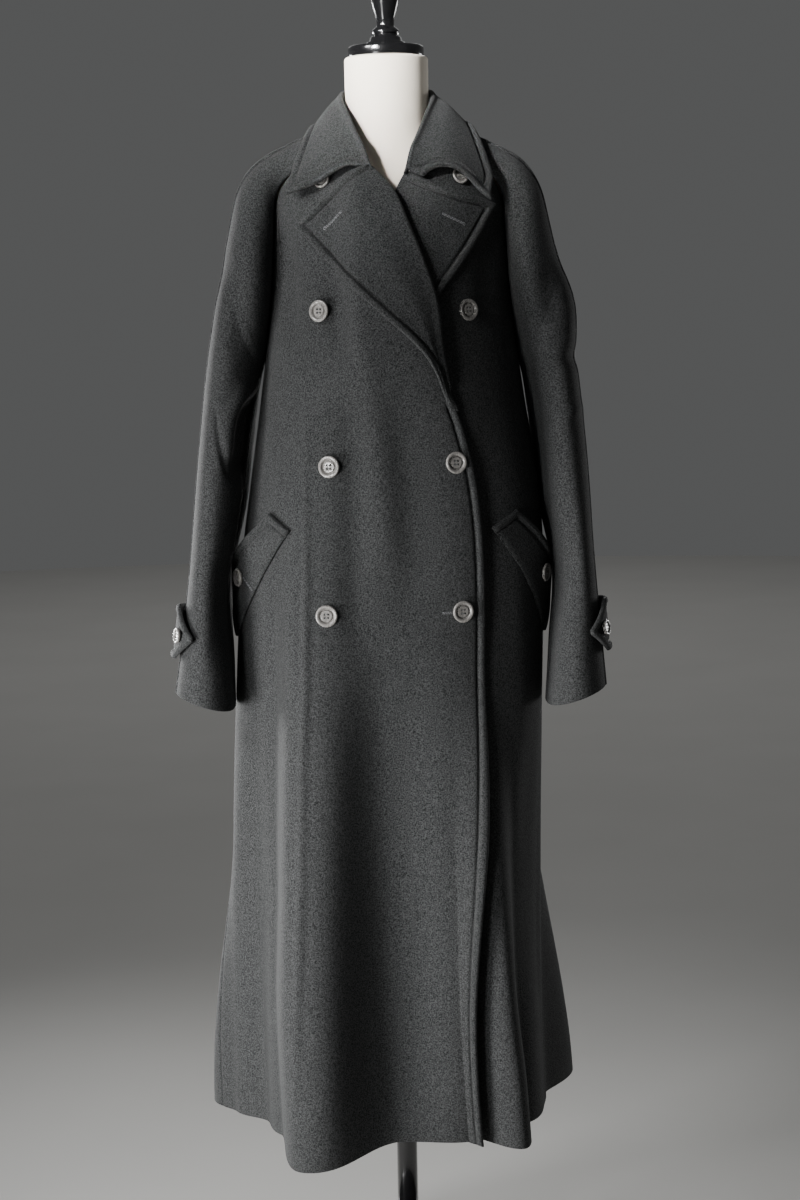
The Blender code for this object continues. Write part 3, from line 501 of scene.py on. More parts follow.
felt = add(tree, "ShaderNodeMath", {1: CLOUD_SHARE}, {0: cloud.outputs["Fac"], 2: tuft.outputs["Fac"]},
           operation="MULTIPLY_ADD")
nap = add(tree, "ShaderNodeBump", {"Strength": 0.5, "Distance": 0.0012}, {"Height": felt.outputs["Value"]})
tree.links.new(nap.outputs["Normal"], shader.inputs["Normal"])


def panel_heights(top):
    """Heights of a panel's rows, close together beside the hem."""
    above = np.linspace(HEM_STEPS[-1], top - HEM_HEIGHT, PANEL_ROWS + 1)[1:]
    return HEM_HEIGHT + np.concatenate([HEM_STEPS, above])


def lifted(grid, out, distance):
    """Points of a grid moved square to its cloth."""
    return grid + out * distance[..., None]


def back_panel():
    """The back between its two side seams."""
    heights = panel_heights(BACK_TOP_HEIGHT)
    start = back_outer(heights)
    near = (SEAM_STEPS, SEAM_STEPS)
    angles, first, last = panel_angles(body, heights, start, 360.0 - start, *near, BACK_COLUMNS)
    grid = body(angles, heights[:, None])
    out = outward(grid)
    free = np.broadcast_to((heights - HEM_HEIGHT)[:, None], first.shape)
    rise, sink = edge_lifts(np.ones_like(first), free)
    rise = rise + seam_lift(first) + seam_lift(last)
    soft = crease_lift(grid, BACK_CREASES)
    return wall("coat_back", lifted(grid, out, rise + soft), lifted(grid, out, sink + soft), wool)


coat_back = back_panel()
stands_for(coat_back, "back")

# The fronts: two wide panels of the same wool that cross over, the wearer's right on top.
# The upper front's free edge is faced, turned and stitched a finger's width in; both hems are turned up.
FRONT_TOP_HEIGHT = 1.545
FRONT_GAP = 0.0024
Edge = namedtuple("Edge", "height reach")
UPPER_EDGE = [
    Edge(0.240, 0.101), Edge(0.450, 0.094), Edge(0.700, 0.104), Edge(0.900, 0.110), Edge(1.040, 0.110),
    Edge(1.130, 0.102), Edge(1.200, 0.086), Edge(1.228, 0.0755), Edge(1.250, 0.0665), Edge(1.295, 0.0560),
    Edge(1.354, 0.0500), Edge(1.414, 0.0325), Edge(1.453, 0.0180), Edge(1.495, 0.0005),
    Edge(1.528, -0.0255), Edge(1.575, -0.0475),
]
UNDER_EDGE = [
    Edge(0.240, -0.085), Edge(0.900, -0.095), Edge(1.130, -0.090), Edge(1.233, -0.070), Edge(1.295, -0.052),
    Edge(1.354, -0.033), Edge(1.414, -0.015), Edge(1.453, -0.0025), Edge(1.495, 0.0130),
    Edge(1.528, 0.0300), Edge(1.575, 0.0500),
]
# The rim of the upper front runs out where the lapel takes over; so far from an edge there is none
RIM_END = Ramp(1.225, 0.02)
RIM_OUT = 0.05
# Where the upper front leaves the body's face to lie over the under front, by angle and height
LEAVE_ANGLE = -62.0
LEAVE_TURN = 34.0
LEAVE_SPAN = 16.0
LEAVE_CHANGE = Ramp(1.120, 0.20)
NECK_CLOSING = Ramp(1.560, -0.05)
# It stands further off over the under front's lapel, and at the hem
CHEST_LIFT = 0.0118
CHEST_START = Ramp(1.200, 0.10)
CHEST_STOP = Ramp(1.540, -0.07)
HEM_LIFT = 0.0040
HEM_TURN = Ramp(8.0, 18.0)
HEM_RISE = Ramp(0.800, -0.40)
# Creases keep this far from the side seams
CALM_SIDE = 0.03
FRONT_COLUMNS = 116
# Troughs that both fronts share where they lie on each other
SHARED_CREASES = [
    Crease(-0.0100, 0.046, [(0.008, 1.275), (0.014, 1.200), (0.020, 1.120), (0.014, 0.920)]),
    Crease(-0.0065, 0.022, [(-0.056, 1.290), (-0.050, 1.200), (-0.052, 1.030), (-0.050, 0.880)]),
    Crease(-0.0130, 0.064, [(0.016, 1.060), (0.002, 0.857), (-0.004, 0.557), (-0.010, 0.379),
                            (-0.024, 0.100)]),
]
UPPER_CREASES = SHARED_CREASES + [
    Crease(-0.0060, 0.016, [(-0.076, 1.410), (-0.066, 1.343), (-0.054, 1.250)]),
    Crease(0.0050, 0.024, [(-0.046, 1.360), (-0.020, 1.174), (0.002, 0.960)]),
    Crease(0.0040, 0.0045, [(-0.108, 1.330), (-0.110, 1.200), (-0.117, 0.887), (-0.123, 0.758),
                            (-0.130, 0.585), (-0.137, 0.453), (-0.146, 0.200)]),
    Crease(0.0125, 0.056, [(0.084, 0.905), (0.088, 0.700), (0.084, 0.450), (0.084, 0.100)]),
    Crease(0.0100, 0.042, [(-0.082, 1.000), (-0.092, 0.750), (-0.098, 0.500), (-0.108, 0.120)]),
    Crease(-0.0045, 0.020, [(-0.150, 0.980), (-0.160, 0.760), (-0.166, 0.440)]),
    Crease(-0.0070, 0.016, [(-0.140, 1.480), (-0.130, 1.390), (-0.132, 1.290)]),
]
UNDER_CREASES = SHARED_CREASES + [
    Crease(-0.0060, 0.018, [(0.132, 1.470), (0.124, 1.390), (0.128, 1.310)]),
    Crease(-0.0050, 0.020, [(0.110, 1.240), (0.124, 1.060), (0.120, 0.900)]),
    Crease(0.0040, 0.020, [(0.150, 1.150), (0.158, 0.900), (0.150, 0.600)]),
    Crease(-0.0060, 0.022, [(0.168, 0.860), (0.172, 0.620), (0.160, 0.340)]),
]


def angle_for(across, height):
    """The angle at which the plain ring reaches a place across the front."""
    ring = read(SECTIONS, height)
    return np.degrees(np.arcsin(np.clip((across - ring.shift) / ring.half_width, -1.0, 1.0)))


def front_outer(height):
    """Angle of a front's outer edge: the side seam, then the sleeve's seam."""
    seam = np.where(height <= UNDERARM_HEIGHT, SIDE_SEAM_ANGLE, read(RAGLAN, height).front_angle)
    return seam - seam_slip(height)


def upper_offset(angle, height):
    """How far the upper front stands off the body's face: over the under front, and more over its lapel."""
    start = LEAVE_ANGLE + LEAVE_TURN * ramp(height, LEAVE_CHANGE)
    share = smooth((angle - start) / LEAVE_SPAN) * ramp(height, NECK_CLOSING)
    chest = ramp(height, CHEST_START) * ramp(height, CHEST_STOP)
    hem = ramp(angle, HEM_TURN) * ramp(height, HEM_RISE)
    return share * (WALL + FRONT_GAP + CHEST_LIFT * chest + HEM_LIFT * hem)


def under_body(angle, height):
    """The body's face for the under front, which the upper front's own fold stands clear of."""
    return body(angle, height, FOLDS[1:])


# Faces with turned edges, for the stitching: points, outward directions, distances from each edge
topstitched = []


def front_panel(name, surface, start, stop, offset, creases, side_first, rim):
    """One front between two angles per height; side_first says which of its edges is the side seam."""
    near = (SEAM_STEPS, RIM_STEPS) if side_first else (RIM_STEPS, SEAM_STEPS)
    angles, first, last = panel_angles(surface, front_heights, start, stop, *near, FRONT_COLUMNS)
    side, free = (first, last) if side_first else (last, first)
    heights = np.broadcast_to(front_heights[:, None], angles.shape)
    grid = surface(angles, heights)
    grid = lifted(grid, outward(grid), offset(angles, heights))
    out = outward(grid)
    stitched = free + RIM_OUT * ramp(heights, RIM_END) if rim else np.ones_like(free)
    rise, sink = edge_lifts(stitched, np.minimum(free, heights - HEM_HEIGHT))
    soft = crease_lift(grid, creases) * smooth(side / CALM_SIDE)
    face = lifted(grid, out, rise + soft + seam_lift(side))
    if rim:
        topstitched.append((face, out, {"last_column": stitched}))
    return wall(name, face, lifted(grid, out, sink + soft), wool), face, out


front_heights = panel_heights(FRONT_TOP_HEIGHT)
upper_front, upper_face, upper_out = front_panel(
    "coat_upper_front", body, -front_outer(front_heights),
    angle_for(read(UPPER_EDGE, front_heights).reach, front_heights), upper_offset, UPPER_CREASES, True, True)
under_front, _, _ = front_panel(
    "coat_under_front", under_body, angle_for(read(UNDER_EDGE, front_heights).reach, front_heights),
    front_outer(front_heights), lambda angle, height: 0.0 * angle, UNDER_CREASES, False, False)
stands_for(upper_front, "front_right")
stands_for(under_front, "front_left")

# The sleeves: each of two pieces that run from the neck to the wrist, cut with the shoulder in one.
# They are joined by a seam along the outer arm, laid to the back and stitched twice, and one under the arm.
Station = namedtuple("Station", "number crest_x crest_y crest_z seam_z under_x under_y under_z "
                     "pull reach lean")
SLEEVE = [
    Station(0, 0.0610, 0.000, 1.5845, 1.570, 0.166, 0.010, 1.275, 0.000, 0.012, 0.000),
    Station(1, 0.1120, 0.000, 1.5695, 1.545, 0.166, 0.010, 1.275, 0.004, 0.024, 0.000),
    Station(2, 0.1500, 0.000, 1.5535, 1.505, 0.166, 0.010, 1.275, 0.016, 0.044, 0.000),
    Station(3, 0.1780, 0.000, 1.5340, 1.455, 0.166, 0.010, 1.275, 0.042, 0.062, 0.000),
    Station(4, 0.1970, 0.000, 1.5030, 1.400, 0.166, 0.010, 1.275, 0.072, 0.078, 0.000),
    Station(5, 0.2080, 0.000, 1.4580, 1.340, 0.166, 0.010, 1.275, 0.092, 0.090, 0.000),
    Station(6, 0.2190, -0.002, 1.4050, 1.280, 0.170, 0.008, 1.268, 0.100, 0.098, 0.000),
    Station(7, 0.2310, -0.006, 1.3450, 1.280, 0.179, 0.005, 1.230, 0.100, 0.100, 0.014),
    Station(8, 0.2430, -0.012, 1.2650, 1.280, 0.1885, 0.000, 1.180, 0.099, 0.099, 0.024),
    Station(9, 0.2555, -0.022, 1.1450, 1.280, 0.1990, -0.016, 1.092, 0.096, 0.096, 0.025),
    Station(10, 0.2640, -0.034, 1.0300, 1.280, 0.2140, -0.026, 0.998, 0.092, 0.092, 0.012),
    Station(11, 0.2740, -0.046, 0.9350, 1.280, 0.2100, -0.052, 0.910, 0.088, 0.088, 0.014),
    Station(12, 0.2830, -0.056, 0.8580, 1.280, 0.2045, -0.064, 0.834, 0.086, 0.086, 0.006),
]
UNDERARM_STATION = 6.0
SIDES = {"right": -1.0, "left": 1.0}
# Each arm hangs a little in or out below the armpit; the left sleeve puffs above the elbow
SLEEVE_SWING = {"right": 0.009, "left": -0.010}
SWING_HEIGHT = 1.405
SWING_LENGTH = 0.55
SLEEVE_PUFF = {"right": 0.0, "left": 0.010}
PUFF_HEIGHT = 1.355
PUFF_HALF_HEIGHT = 0.085
PUFF_ACROSS = Ramp(0.185, 0.045)
# The back piece is fuller from the armpit down
BACK_FULLNESS = 0.27
BACK_FILLING = Ramp(UNDERARM_STATION, 3.0)
# A sleeve's curve starts straight where it is pulled out less than this
PULL_LIMIT = 0.040
RAGLAN_STAND = 2.0 * SEAM_GAP
SLEEVE_ROWS = 190
SLEEVE_COLUMNS = 40
FINE_STATIONS = 1201
FINE_AROUND = 201
NECK_STEPS = np.array([0.0, 0.001])
# The overarm seam lies in front of the outer arm; its two rows of stitches hold a raised band
SEAM_FORWARD = 0.026
SEAM_START = Ramp(-0.5, 3.0)
OVERARM_STITCHES = (0.0022, 0.0082)
OVERARM_DEPTH = 0.0013
OVERARM_SPREAD = 0.0012
BAND_RISE = 0.0009
BAND_START = Ramp(0.0, 0.0015)
BAND_STOP = Ramp(0.0095, -0.002)
# The cuff's hem is held by a blind stitch that shows as a faint line
CUFF_HEM = 0.034
CUFF_DEPTH = 0.0006
CUFF_SPREAD = 0.0014
# Front and back creases change over at the side of the sleeve and keep off its edges
FRONT_SIDE = Ramp(0.02, -0.03)
CALM_EDGE = 0.02
OVERARM_STEPS = np.array([0.0, 0.6, 1.3, 2.2, 3.1, 4.4, 6.0, 7.3, 8.2, 9.1, 10.5, 13.0]) / 1000.0
SLEEVE_CREASES = {
    "right": [
        Crease(0.0075, 0.010, [(-0.182, 1.275), (-0.2065, 1.215), (-0.212, 1.140)]),
        Crease(-0.0090, 0.011, [(-0.164, 1.255), (-0.188, 1.222), (-0.198, 1.185), (-0.203, 1.120)]),
        Crease(-0.0045, 0.004, [(-0.230, 1.245), (-0.224, 1.190), (-0.211, 1.130)]),
        Crease(-0.0045, 0.016, [(-0.206, 1.430), (-0.197, 1.340), (-0.199, 1.270)]),
        Crease(0.0040, 0.018, [(-0.230, 1.110), (-0.238, 1.020), (-0.248, 0.900)]),
        Crease(-0.0035, 0.014, [(-0.222, 1.060), (-0.228, 0.970), (-0.232, 0.880)]),
    ],
    "left": [
        Crease(0.0035, 0.014, [(0.240, 1.312), (0.214, 1.318), (0.184, 1.300)]),
        Crease(-0.0045, 0.013, [(0.252, 1.286), (0.226, 1.280), (0.188, 1.258)]),
        Crease(0.0035, 0.014, [(0.240, 1.226), (0.222, 1.206), (0.200, 1.172)]),
        Crease(-0.0040, 0.014, [(0.206, 1.420), (0.206, 1.356), (0.216, 1.310)]),
        Crease(-0.0040, 0.014, [(0.220, 1.150), (0.226, 1.040), (0.232, 0.910)]),
    ],
}
# Like creases behind the elbows, which the photograph hides
SLEEVE_BACK_CREASES = {
    "right": [
        Crease(-0.0050, 0.013, [(-0.176, 1.292), (-0.205, 1.262), (-0.236, 1.250)]),
        Crease(0.0040, 0.014, [(-0.182, 1.246), (-0.212, 1.218), (-0.244, 1.212)]),
        Crease(-0.0045, 0.011, [(-0.196, 1.196), (-0.220, 1.176), (-0.246, 1.168)]),
        Crease(-0.0040, 0.014, [(-0.236, 1.120), (-0.244, 1.010), (-0.250, 0.890)]),
    ],
    "left": [
        Crease(-0.0045, 0.014, [(0.172, 1.270), (0.198, 1.246), (0.232, 1.238)]),
        Crease(0.0040, 0.013, [(0.184, 1.214), (0.208, 1.192), (0.236, 1.186)]),
        Crease(-0.0050, 0.012, [(0.190, 1.166), (0.212, 1.146), (0.240, 1.134)]),
        Crease(-0.0035, 0.016, [(0.222, 1.090), (0.232, 0.990), (0.236, 0.880)]),
    ],
}
SleeveCut = namedtuple("SleeveCut", "width area")


def body_out(angle, height, turn=0.6, rise=0.004):
    """Outward directions of the body's face, from its points a little beside, above and below."""
    across = body(angle + turn, height) - body(angle - turn, height)
    along = body(angle, height + rise) - body(angle, height - rise)
    return unit(np.cross(across, along))


def sleeve_curve(half, station, around):
    """Points of the sleeve's outer face on the wearer's left; around goes from seam to outer arm."""
    station, around = np.broadcast_arrays(np.asarray(station, float), np.asarray(around, float))
    row = read(SLEEVE, station)
    raglan = read(RAGLAN, row.seam_z)
    slip = seam_slip(row.seam_z)
    angle = raglan.front_angle + slip if half == "front" else raglan.back_angle - slip
    beside = body(angle, row.seam_z) + body_out(angle, row.seam_z) * RAGLAN_STAND
    under = np.stack([row.under_x, row.under_y, row.under_z], -1)
    start = np.where((station >= UNDERARM_STATION)[..., None], under, beside)
    crest = np.stack([row.crest_x, row.crest_y, row.crest_z], -1)
    way = np.array((0.0, -1.0 if half == "front" else 1.0, 0.0))
    lead = (crest - start) * (np.clip(1.0 - row.pull / PULL_LIMIT, 0.0, None) / 3.0)[..., None]
    if half == "back":
        way = way * (1.0 + BACK_FULLNESS * ramp(station, BACK_FILLING))[..., None]
        lead = lead - row.lean[..., None] * (1.0, 0.0, 0.0)
    b = start + lead + way * row.pull[..., None]
    c = crest + way * row.reach[..., None]
    t = around[..., None]
    return start * (1 - t)**3 + b * (3 * t * (1 - t)**2) + c * (3 * t * t * (1 - t)) + crest * t**3


def sleeve_ring(station, around):
    """The whole sleeve: around runs from -1 at the front's seam over the outer arm to 1 at the back's."""
    front = sleeve_curve("front", station, 1.0 + np.minimum(around, 0.0))
    back = sleeve_curve("back", station, 1.0 - np.maximum(around, 0.0))
    return np.where((np.asarray(around) < 0.0)[..., None], front, back)


def sided(side, points):
    """Points of the wearer's left moved to the asked side, with the sleeve's own swing and puff."""
    x, y, z = np.moveaxis(points, -1, 0)
    drop = np.clip(SWING_HEIGHT - z, 0.0, None) / SWING_LENGTH
    puff = SLEEVE_PUFF[side] * bump((z - PUFF_HEIGHT) / PUFF_HALF_HEIGHT) * ramp(x, PUFF_ACROSS)
    return np.stack([SIDES[side] * (x + SLEEVE_SWING[side] * drop**2 + puff), y, z], -1)


def sleeve_rows():
    """Stations of the sleeve's rows, closer together at the cuff, and their distance from it."""
    fine = np.linspace(0.0, SLEEVE[-1].number, FINE_STATIONS)
    crest = sleeve_ring(fine, np.zeros_like(fine))[None]
    stations, _, from_cuff = spread(crest, fine[None], NECK_STEPS, HEM_STEPS, SLEEVE_ROWS)
    return stations[0], from_cuff[0]


sleeve_stations, from_cuff = sleeve_rows()


def overarm_place():
    """Where the outer seam lies round the sleeve, as a share of the front half, for each row."""
    fine = np.linspace(0.0, -1.0, FINE_AROUND)
    ring = sleeve_ring(sleeve_stations[:, None], fine[None, :])
    wanted = SEAM_FORWARD * ramp(sleeve_stations, SEAM_START)
    return np.array([np.interp(reach, row, fine) for reach, row in zip(wanted, run_lengths(ring))])


overarm = overarm_place()


def sleeve_piece(side, half):
    """One of a sleeve's two pieces; the seam on the outer arm is stitched twice on the back piece."""
    fine = np.linspace(0.0, 1.0, FINE_STEPS)
    start = np.full(len(overarm), -1.0) if half == "front" else overarm
    stop = overarm if half == "front" else np.ones(len(overarm))
    keys = start[:, None] + (stop - start)[:, None] * fine
    points = sleeve_ring(sleeve_stations[:, None], keys)
    near = (SEAM_STEPS, SEAM_STEPS) if half == "front" else (OVERARM_STEPS, SEAM_STEPS)
    keys, first, last = spread(points, keys, *near, SLEEVE_COLUMNS)
    grid = sleeve_ring(sleeve_stations[:, None], keys)
    out = -outward(grid)
    grid, out = sided(side, grid), out * (SIDES[side], 1.0, 1.0)
    free = np.broadcast_to(from_cuff[:, None], first.shape)
    rise, sink = edge_lifts(np.ones_like(first), free)
    rise = rise + seam_lift(first) + seam_lift(last) - trough(free - CUFF_HEM, CUFF_DEPTH, CUFF_SPREAD)
    if half == "back":
        for distance in OVERARM_STITCHES:
            rise = rise - trough(first - distance, OVERARM_DEPTH, OVERARM_SPREAD)
        rise = rise + BAND_RISE * ramp(first, BAND_START) * ramp(first, BAND_STOP)
    facing = ramp(grid[..., 1], FRONT_SIDE)
    soft = crease_lift(grid, SLEEVE_CREASES[side]) * facing
    soft = soft + crease_lift(grid, SLEEVE_BACK_CREASES[side]) * (1.0 - facing)
    from_body = first if half == "front" else last
    soft = soft * smooth(free / CALM_EDGE) * smooth(from_body / CALM_EDGE)
    face = lifted(grid, out, rise + soft)
    if half == "back":
        for distance in OVERARM_STITCHES:
            topstitched.append((face, out, {"first_column": first - distance + RIM_WIDTH}))
    return wall(f"sleeve_{side}_{half}_piece", face, lifted(grid, out, sink + soft), wool)


for side in SIDES:
    for half in ("front", "back"):
        piece = sleeve_piece(side, half)
        stands_for(piece, f"sleeve_{side}_{half}")

# The collar: one wide two-layer piece that stands up round the neck, rolls over and falls on the shoulders.
# Its edge is turned and stitched; the front ends bow up off the lapels.
Collar = namedtuple("Collar", "number foot_x foot_y foot_z roll_x roll_y roll_z edge_x edge_y edge_z puff")
COLLAR = [
    Collar(0, 0.0230, -0.1050, 1.5310, 0.0240, -0.1090, 1.5385, 0.1290, -0.0930, 1.4930, 0.020),
    Collar(1, 0.0350, -0.0800, 1.5530, 0.0370, -0.0850, 1.5640, 0.1225, -0.0660, 1.5225, 0.009),
    Collar(2, 0.0490, -0.0460, 1.5760, 0.0515, -0.0480, 1.5980, 0.1070, -0.0260, 1.5660, 0.005),
    Collar(3, 0.0584, -0.0020, 1.5815, 0.0597, -0.0020, 1.6220, 0.0960, 0.0160, 1.5810, 0.005),
    Collar(4, 0.0490, 0.0410, 1.5725, 0.0500, 0.0430, 1.6320, 0.0830, 0.0850, 1.5670, 0.006),
    Collar(5, 0.0000, 0.0610, 1.5735, 0.0000, 0.0630, 1.6360, 0.0000, 0.1180, 1.5550, 0.007),
]
BACK_STATION = 5.0
LAST_STATION = 10.0
# The wearer's left end hangs lower and its side lies further out
LEFT_DROP = 0.010
DROP_START = Ramp(8.0, 2.0)
LEFT_WIDER = 0.009
WIDER_START = Ramp(6.0, 1.5)
WIDER_STOP = Ramp(LAST_STATION, -1.0)
# The lower edge of the collar's ends, from the roll over the gorge's notch to the tip
CollarEnd = namedtuple("CollarEnd", "across height")
RIGHT_END = [CollarEnd(*spot) for spot in (
    (0.0240, 1.5290), (0.0285, 1.5262), (0.0350, 1.5255), (0.0475, 1.5290), (0.0610, 1.5243),
    (0.0740, 1.5170), (0.0900, 1.5075), (0.1090, 1.5010), (0.1290, 1.4940))]
LEFT_END = [CollarEnd(*spot) for spot in (
    (0.0240, 1.5235), (0.0340, 1.5165), (0.0435, 1.5135), (0.0510, 1.5195), (0.0650, 1.5248),
    (0.0835, 1.5225), (0.1022, 1.5090), (0.1150, 1.4945), (0.1290, 1.4830))]
END_STATIONS = 0.75
# Shares of the way from foot to edge: foot, inside of the roll, roll, its outside, middle of the fall, edge
ROLL_SHARE = 0.40
COLLAR_KNOTS = (0.0, 0.30, ROLL_SHARE, 0.50, 0.75, 1.0)
RollSide = namedtuple("RollSide", "out down")
ROLL_INNER = RollSide(-0.0035, 0.0065)
ROLL_OUTER = RollSide(0.0050, 0.0045)
FALL_MIDDLE = 0.45
# The fall begins below the roll, and its rim with it
FALL_START = 0.52
RIM_START = Ramp(0.46, 0.08)
# Rows and columns are even along these lines: near the edge, and at the side of the neck
EDGE_LINE = np.array([0.97])
SIDE_LINE = np.array([2.0])
COLLAR_COLUMNS = 110
COLLAR_ROWS = 44
FINE_KEYS = 801
# Least square of a step along an edge, so that none of length zero divides
LEAST_SQUARE = 1e-12


def collar_fall(stations, alongs):
    """Middle of the collar's wall on the wearer's right, before its ends are shaped."""
    row = read(COLLAR, np.minimum(stations, LAST_STATION - stations))
    foot = np.stack([row.foot_x, row.foot_y, row.foot_z], -1)
    roll = np.stack([row.roll_x, row.roll_y, row.roll_z], -1)
    drop = LEFT_DROP * ramp(stations, DROP_START)
    wider = LEFT_WIDER * ramp(stations, WIDER_START) * ramp(stations, WIDER_STOP)
    edge = np.stack([row.edge_x + wider, row.edge_y, row.edge_z - drop], -1)
    fall = edge - roll
    level = unit(fall * (1.0, 1.0, 0.0))
    inner, outer = [roll + level * side.out - (0.0, 0.0, side.down) for side in (ROLL_INNER, ROLL_OUTER)]
    middle = roll + fall * FALL_MIDDLE + row.puff[:, None] * (0.0, 0.0, 1.0)
    path = np.stack([foot, inner, roll, outer, middle, edge])
    Knot = namedtuple("Knot", "key foot inner roll outer middle edge")
    knots = [Knot(key, *share) for key, share in zip(COLLAR_KNOTS, np.eye(len(COLLAR_KNOTS)))]
    shares = np.stack(read(knots, alongs)[1:], -1)
    return np.einsum("ak,ksx->asx", shares, path)


def collar_points(stations, alongs):
    """Middle of the collar's wall: a row for each share from foot to edge, a column for each station."""
    grid = collar_fall(stations, alongs)
    for table, first in ((RIGHT_END, 0.0), (LEFT_END, LAST_STATION)):
        end = collar_fall(np.array([first]), alongs)[:, 0]
        beyond = np.abs(stations - first)
        wanted = np.where(alongs > ROLL_SHARE, read(table, end[:, 0]).height - end[:, 2],
                          table[0].height - COLLAR[0].roll_z)
        grid[..., 2] += wanted[:, None] * smooth(1.0 - beyond / END_STATIONS)
    grid[..., 0] *= np.where(stations > BACK_STATION, 1.0, -1.0)
    return grid


def edge_distance(grid, edge):
    """Distance of each point of a grid from the nearest of an edge's points, joined by straight lines."""
    flat = grid.reshape(-1, 1, 3)
    start, step = edge[None, :-1], (edge[1:] - edge[:-1])[None]
    square = np.maximum(np.sum(step * step, -1), LEAST_SQUARE)
    share = np.clip(np.sum((flat - start) * step, -1) / square, 0.0, 1.0)
    gap = np.linalg.norm(flat - start - share[..., None] * step, axis=-1)
    return gap.min(axis=1).reshape(grid.shape[:2])


def edge_gaps(grid, **edges):
    """Distances of a grid's points from each of its turned edges, and from the nearest."""
    gaps = {side: edge_distance(grid, edge) for side, edge in edges.items()}
    return gaps, np.minimum.reduce(list(gaps.values()))


def even_keys(curve, low, high, near_low, near_high, middle):
    """Values between two ends that lie evenly along a curve, and closer together beside both ends."""
    fine = np.linspace(low, high, FINE_KEYS)
    return spread(curve(fine)[None], fine[None], near_low, near_high, middle)[0][0]


def collar_piece():
    """The collar's wall, its rim on the fall only."""
    stations = even_keys(lambda keys: collar_points(keys, EDGE_LINE)[0], 0.0, LAST_STATION,
                         RIM_STEPS, RIM_STEPS, COLLAR_COLUMNS)
    alongs = even_keys(lambda keys: collar_points(SIDE_LINE, keys)[:, 0], 0.0, 1.0,
                       SEAM_STEPS, RIM_STEPS, COLLAR_ROWS)
    grid = collar_points(stations, alongs)
    out = outward(grid)
    fall = int(np.searchsorted(alongs, FALL_START))
    gaps, distance = edge_gaps(grid, first_column=grid[fall:, 0], last_column=grid[fall:, -1],
                               last_row=grid[-1])
    rise, sink = edge_lifts(distance + RIM_OUT * (1.0 - ramp(alongs, RIM_START)[:, None]), distance)
    face = lifted(grid, out, rise + 0.5 * WALL)
    topstitched.append((face[fall:], out[fall:], {side: gap[fall:] for side, gap in gaps.items()}))
    return wall("coat_collar", face, lifted(grid, out, sink + 0.5 * WALL), wool)


coat_collar = collar_piece()
stands_for(coat_collar, "collar")

# The lapels: the fronts' upper corners, faced with the same wool, that roll over and lie on the chest.
# Their edges are turned and stitched like the collar's and carry one worked buttonhole each.
LapelRow = namedtuple("LapelRow", "roll_height edge_x edge_z")
UPPER_LAPEL = [
    LapelRow(1.220, 0.0720, 1.2195),
    LapelRow(1.240, 0.0620, 1.238),
    LapelRow(1.300, 0.034, 1.292),
    LapelRow(1.370, -0.018, 1.348),
    LapelRow(1.440, -0.070, 1.403),
    LapelRow(1.5263, -0.1150, 1.4550),
]
UNDER_LAPEL = [
    LapelRow(1.272, -0.0480, 1.268),
    LapelRow(1.300, -0.024, 1.288),
    LapelRow(1.370, 0.040, 1.345),
    LapelRow(1.440, 0.090, 1.408),
    LapelRow(1.5175, 0.1290, 1.4770),
]
TURN_STEPS = 12
TURN_ANGLE = 2.0
TAIL = 0.006
# A lapel grows out of its front's edge over this height, from a share of the cloth's thickness
LAPEL_GROWTH = 0.055
LAPEL_THIN = 0.2
LAPEL_BEND = 0.3
LAPEL_SINK = 0.8
LAPEL_CLEAR = 3.0 * SEAM_GAP
# It lies off the chest from its roll on, and a little more at its edge
ROLL_INSET = 0.004
LAPEL_RISE = 0.0040
LAPEL_ONSET = Ramp(0.0, 0.4)
EDGE_RISE = 0.0030
EDGE_ONSET = Ramp(0.55, 0.45)
# The top edge bows off the chest and sags along most of its length
GORGE_RISE = {"upper": 0.007, "under": 0.005}
GORGE_DROP = {"upper": 0.0, "under": 0.006}
GORGE_HEIGHT = 0.07
GORGE_LENGTH = 0.8
GORGE_POWER = 0.7
LAPEL_ROWS = 90
LAPEL_COLUMNS = 34
FIRST_SHARE = 0.02
TOP_SLOPE = 0.07


def front_place(panel, angle, height, lift):
    """Points on a front, moved out from its outer face."""
    offset = upper_offset(angle, height) if panel == "upper" else 0.0 * angle
    return lifted(body(angle, height), body_out(angle, height), offset + lift)


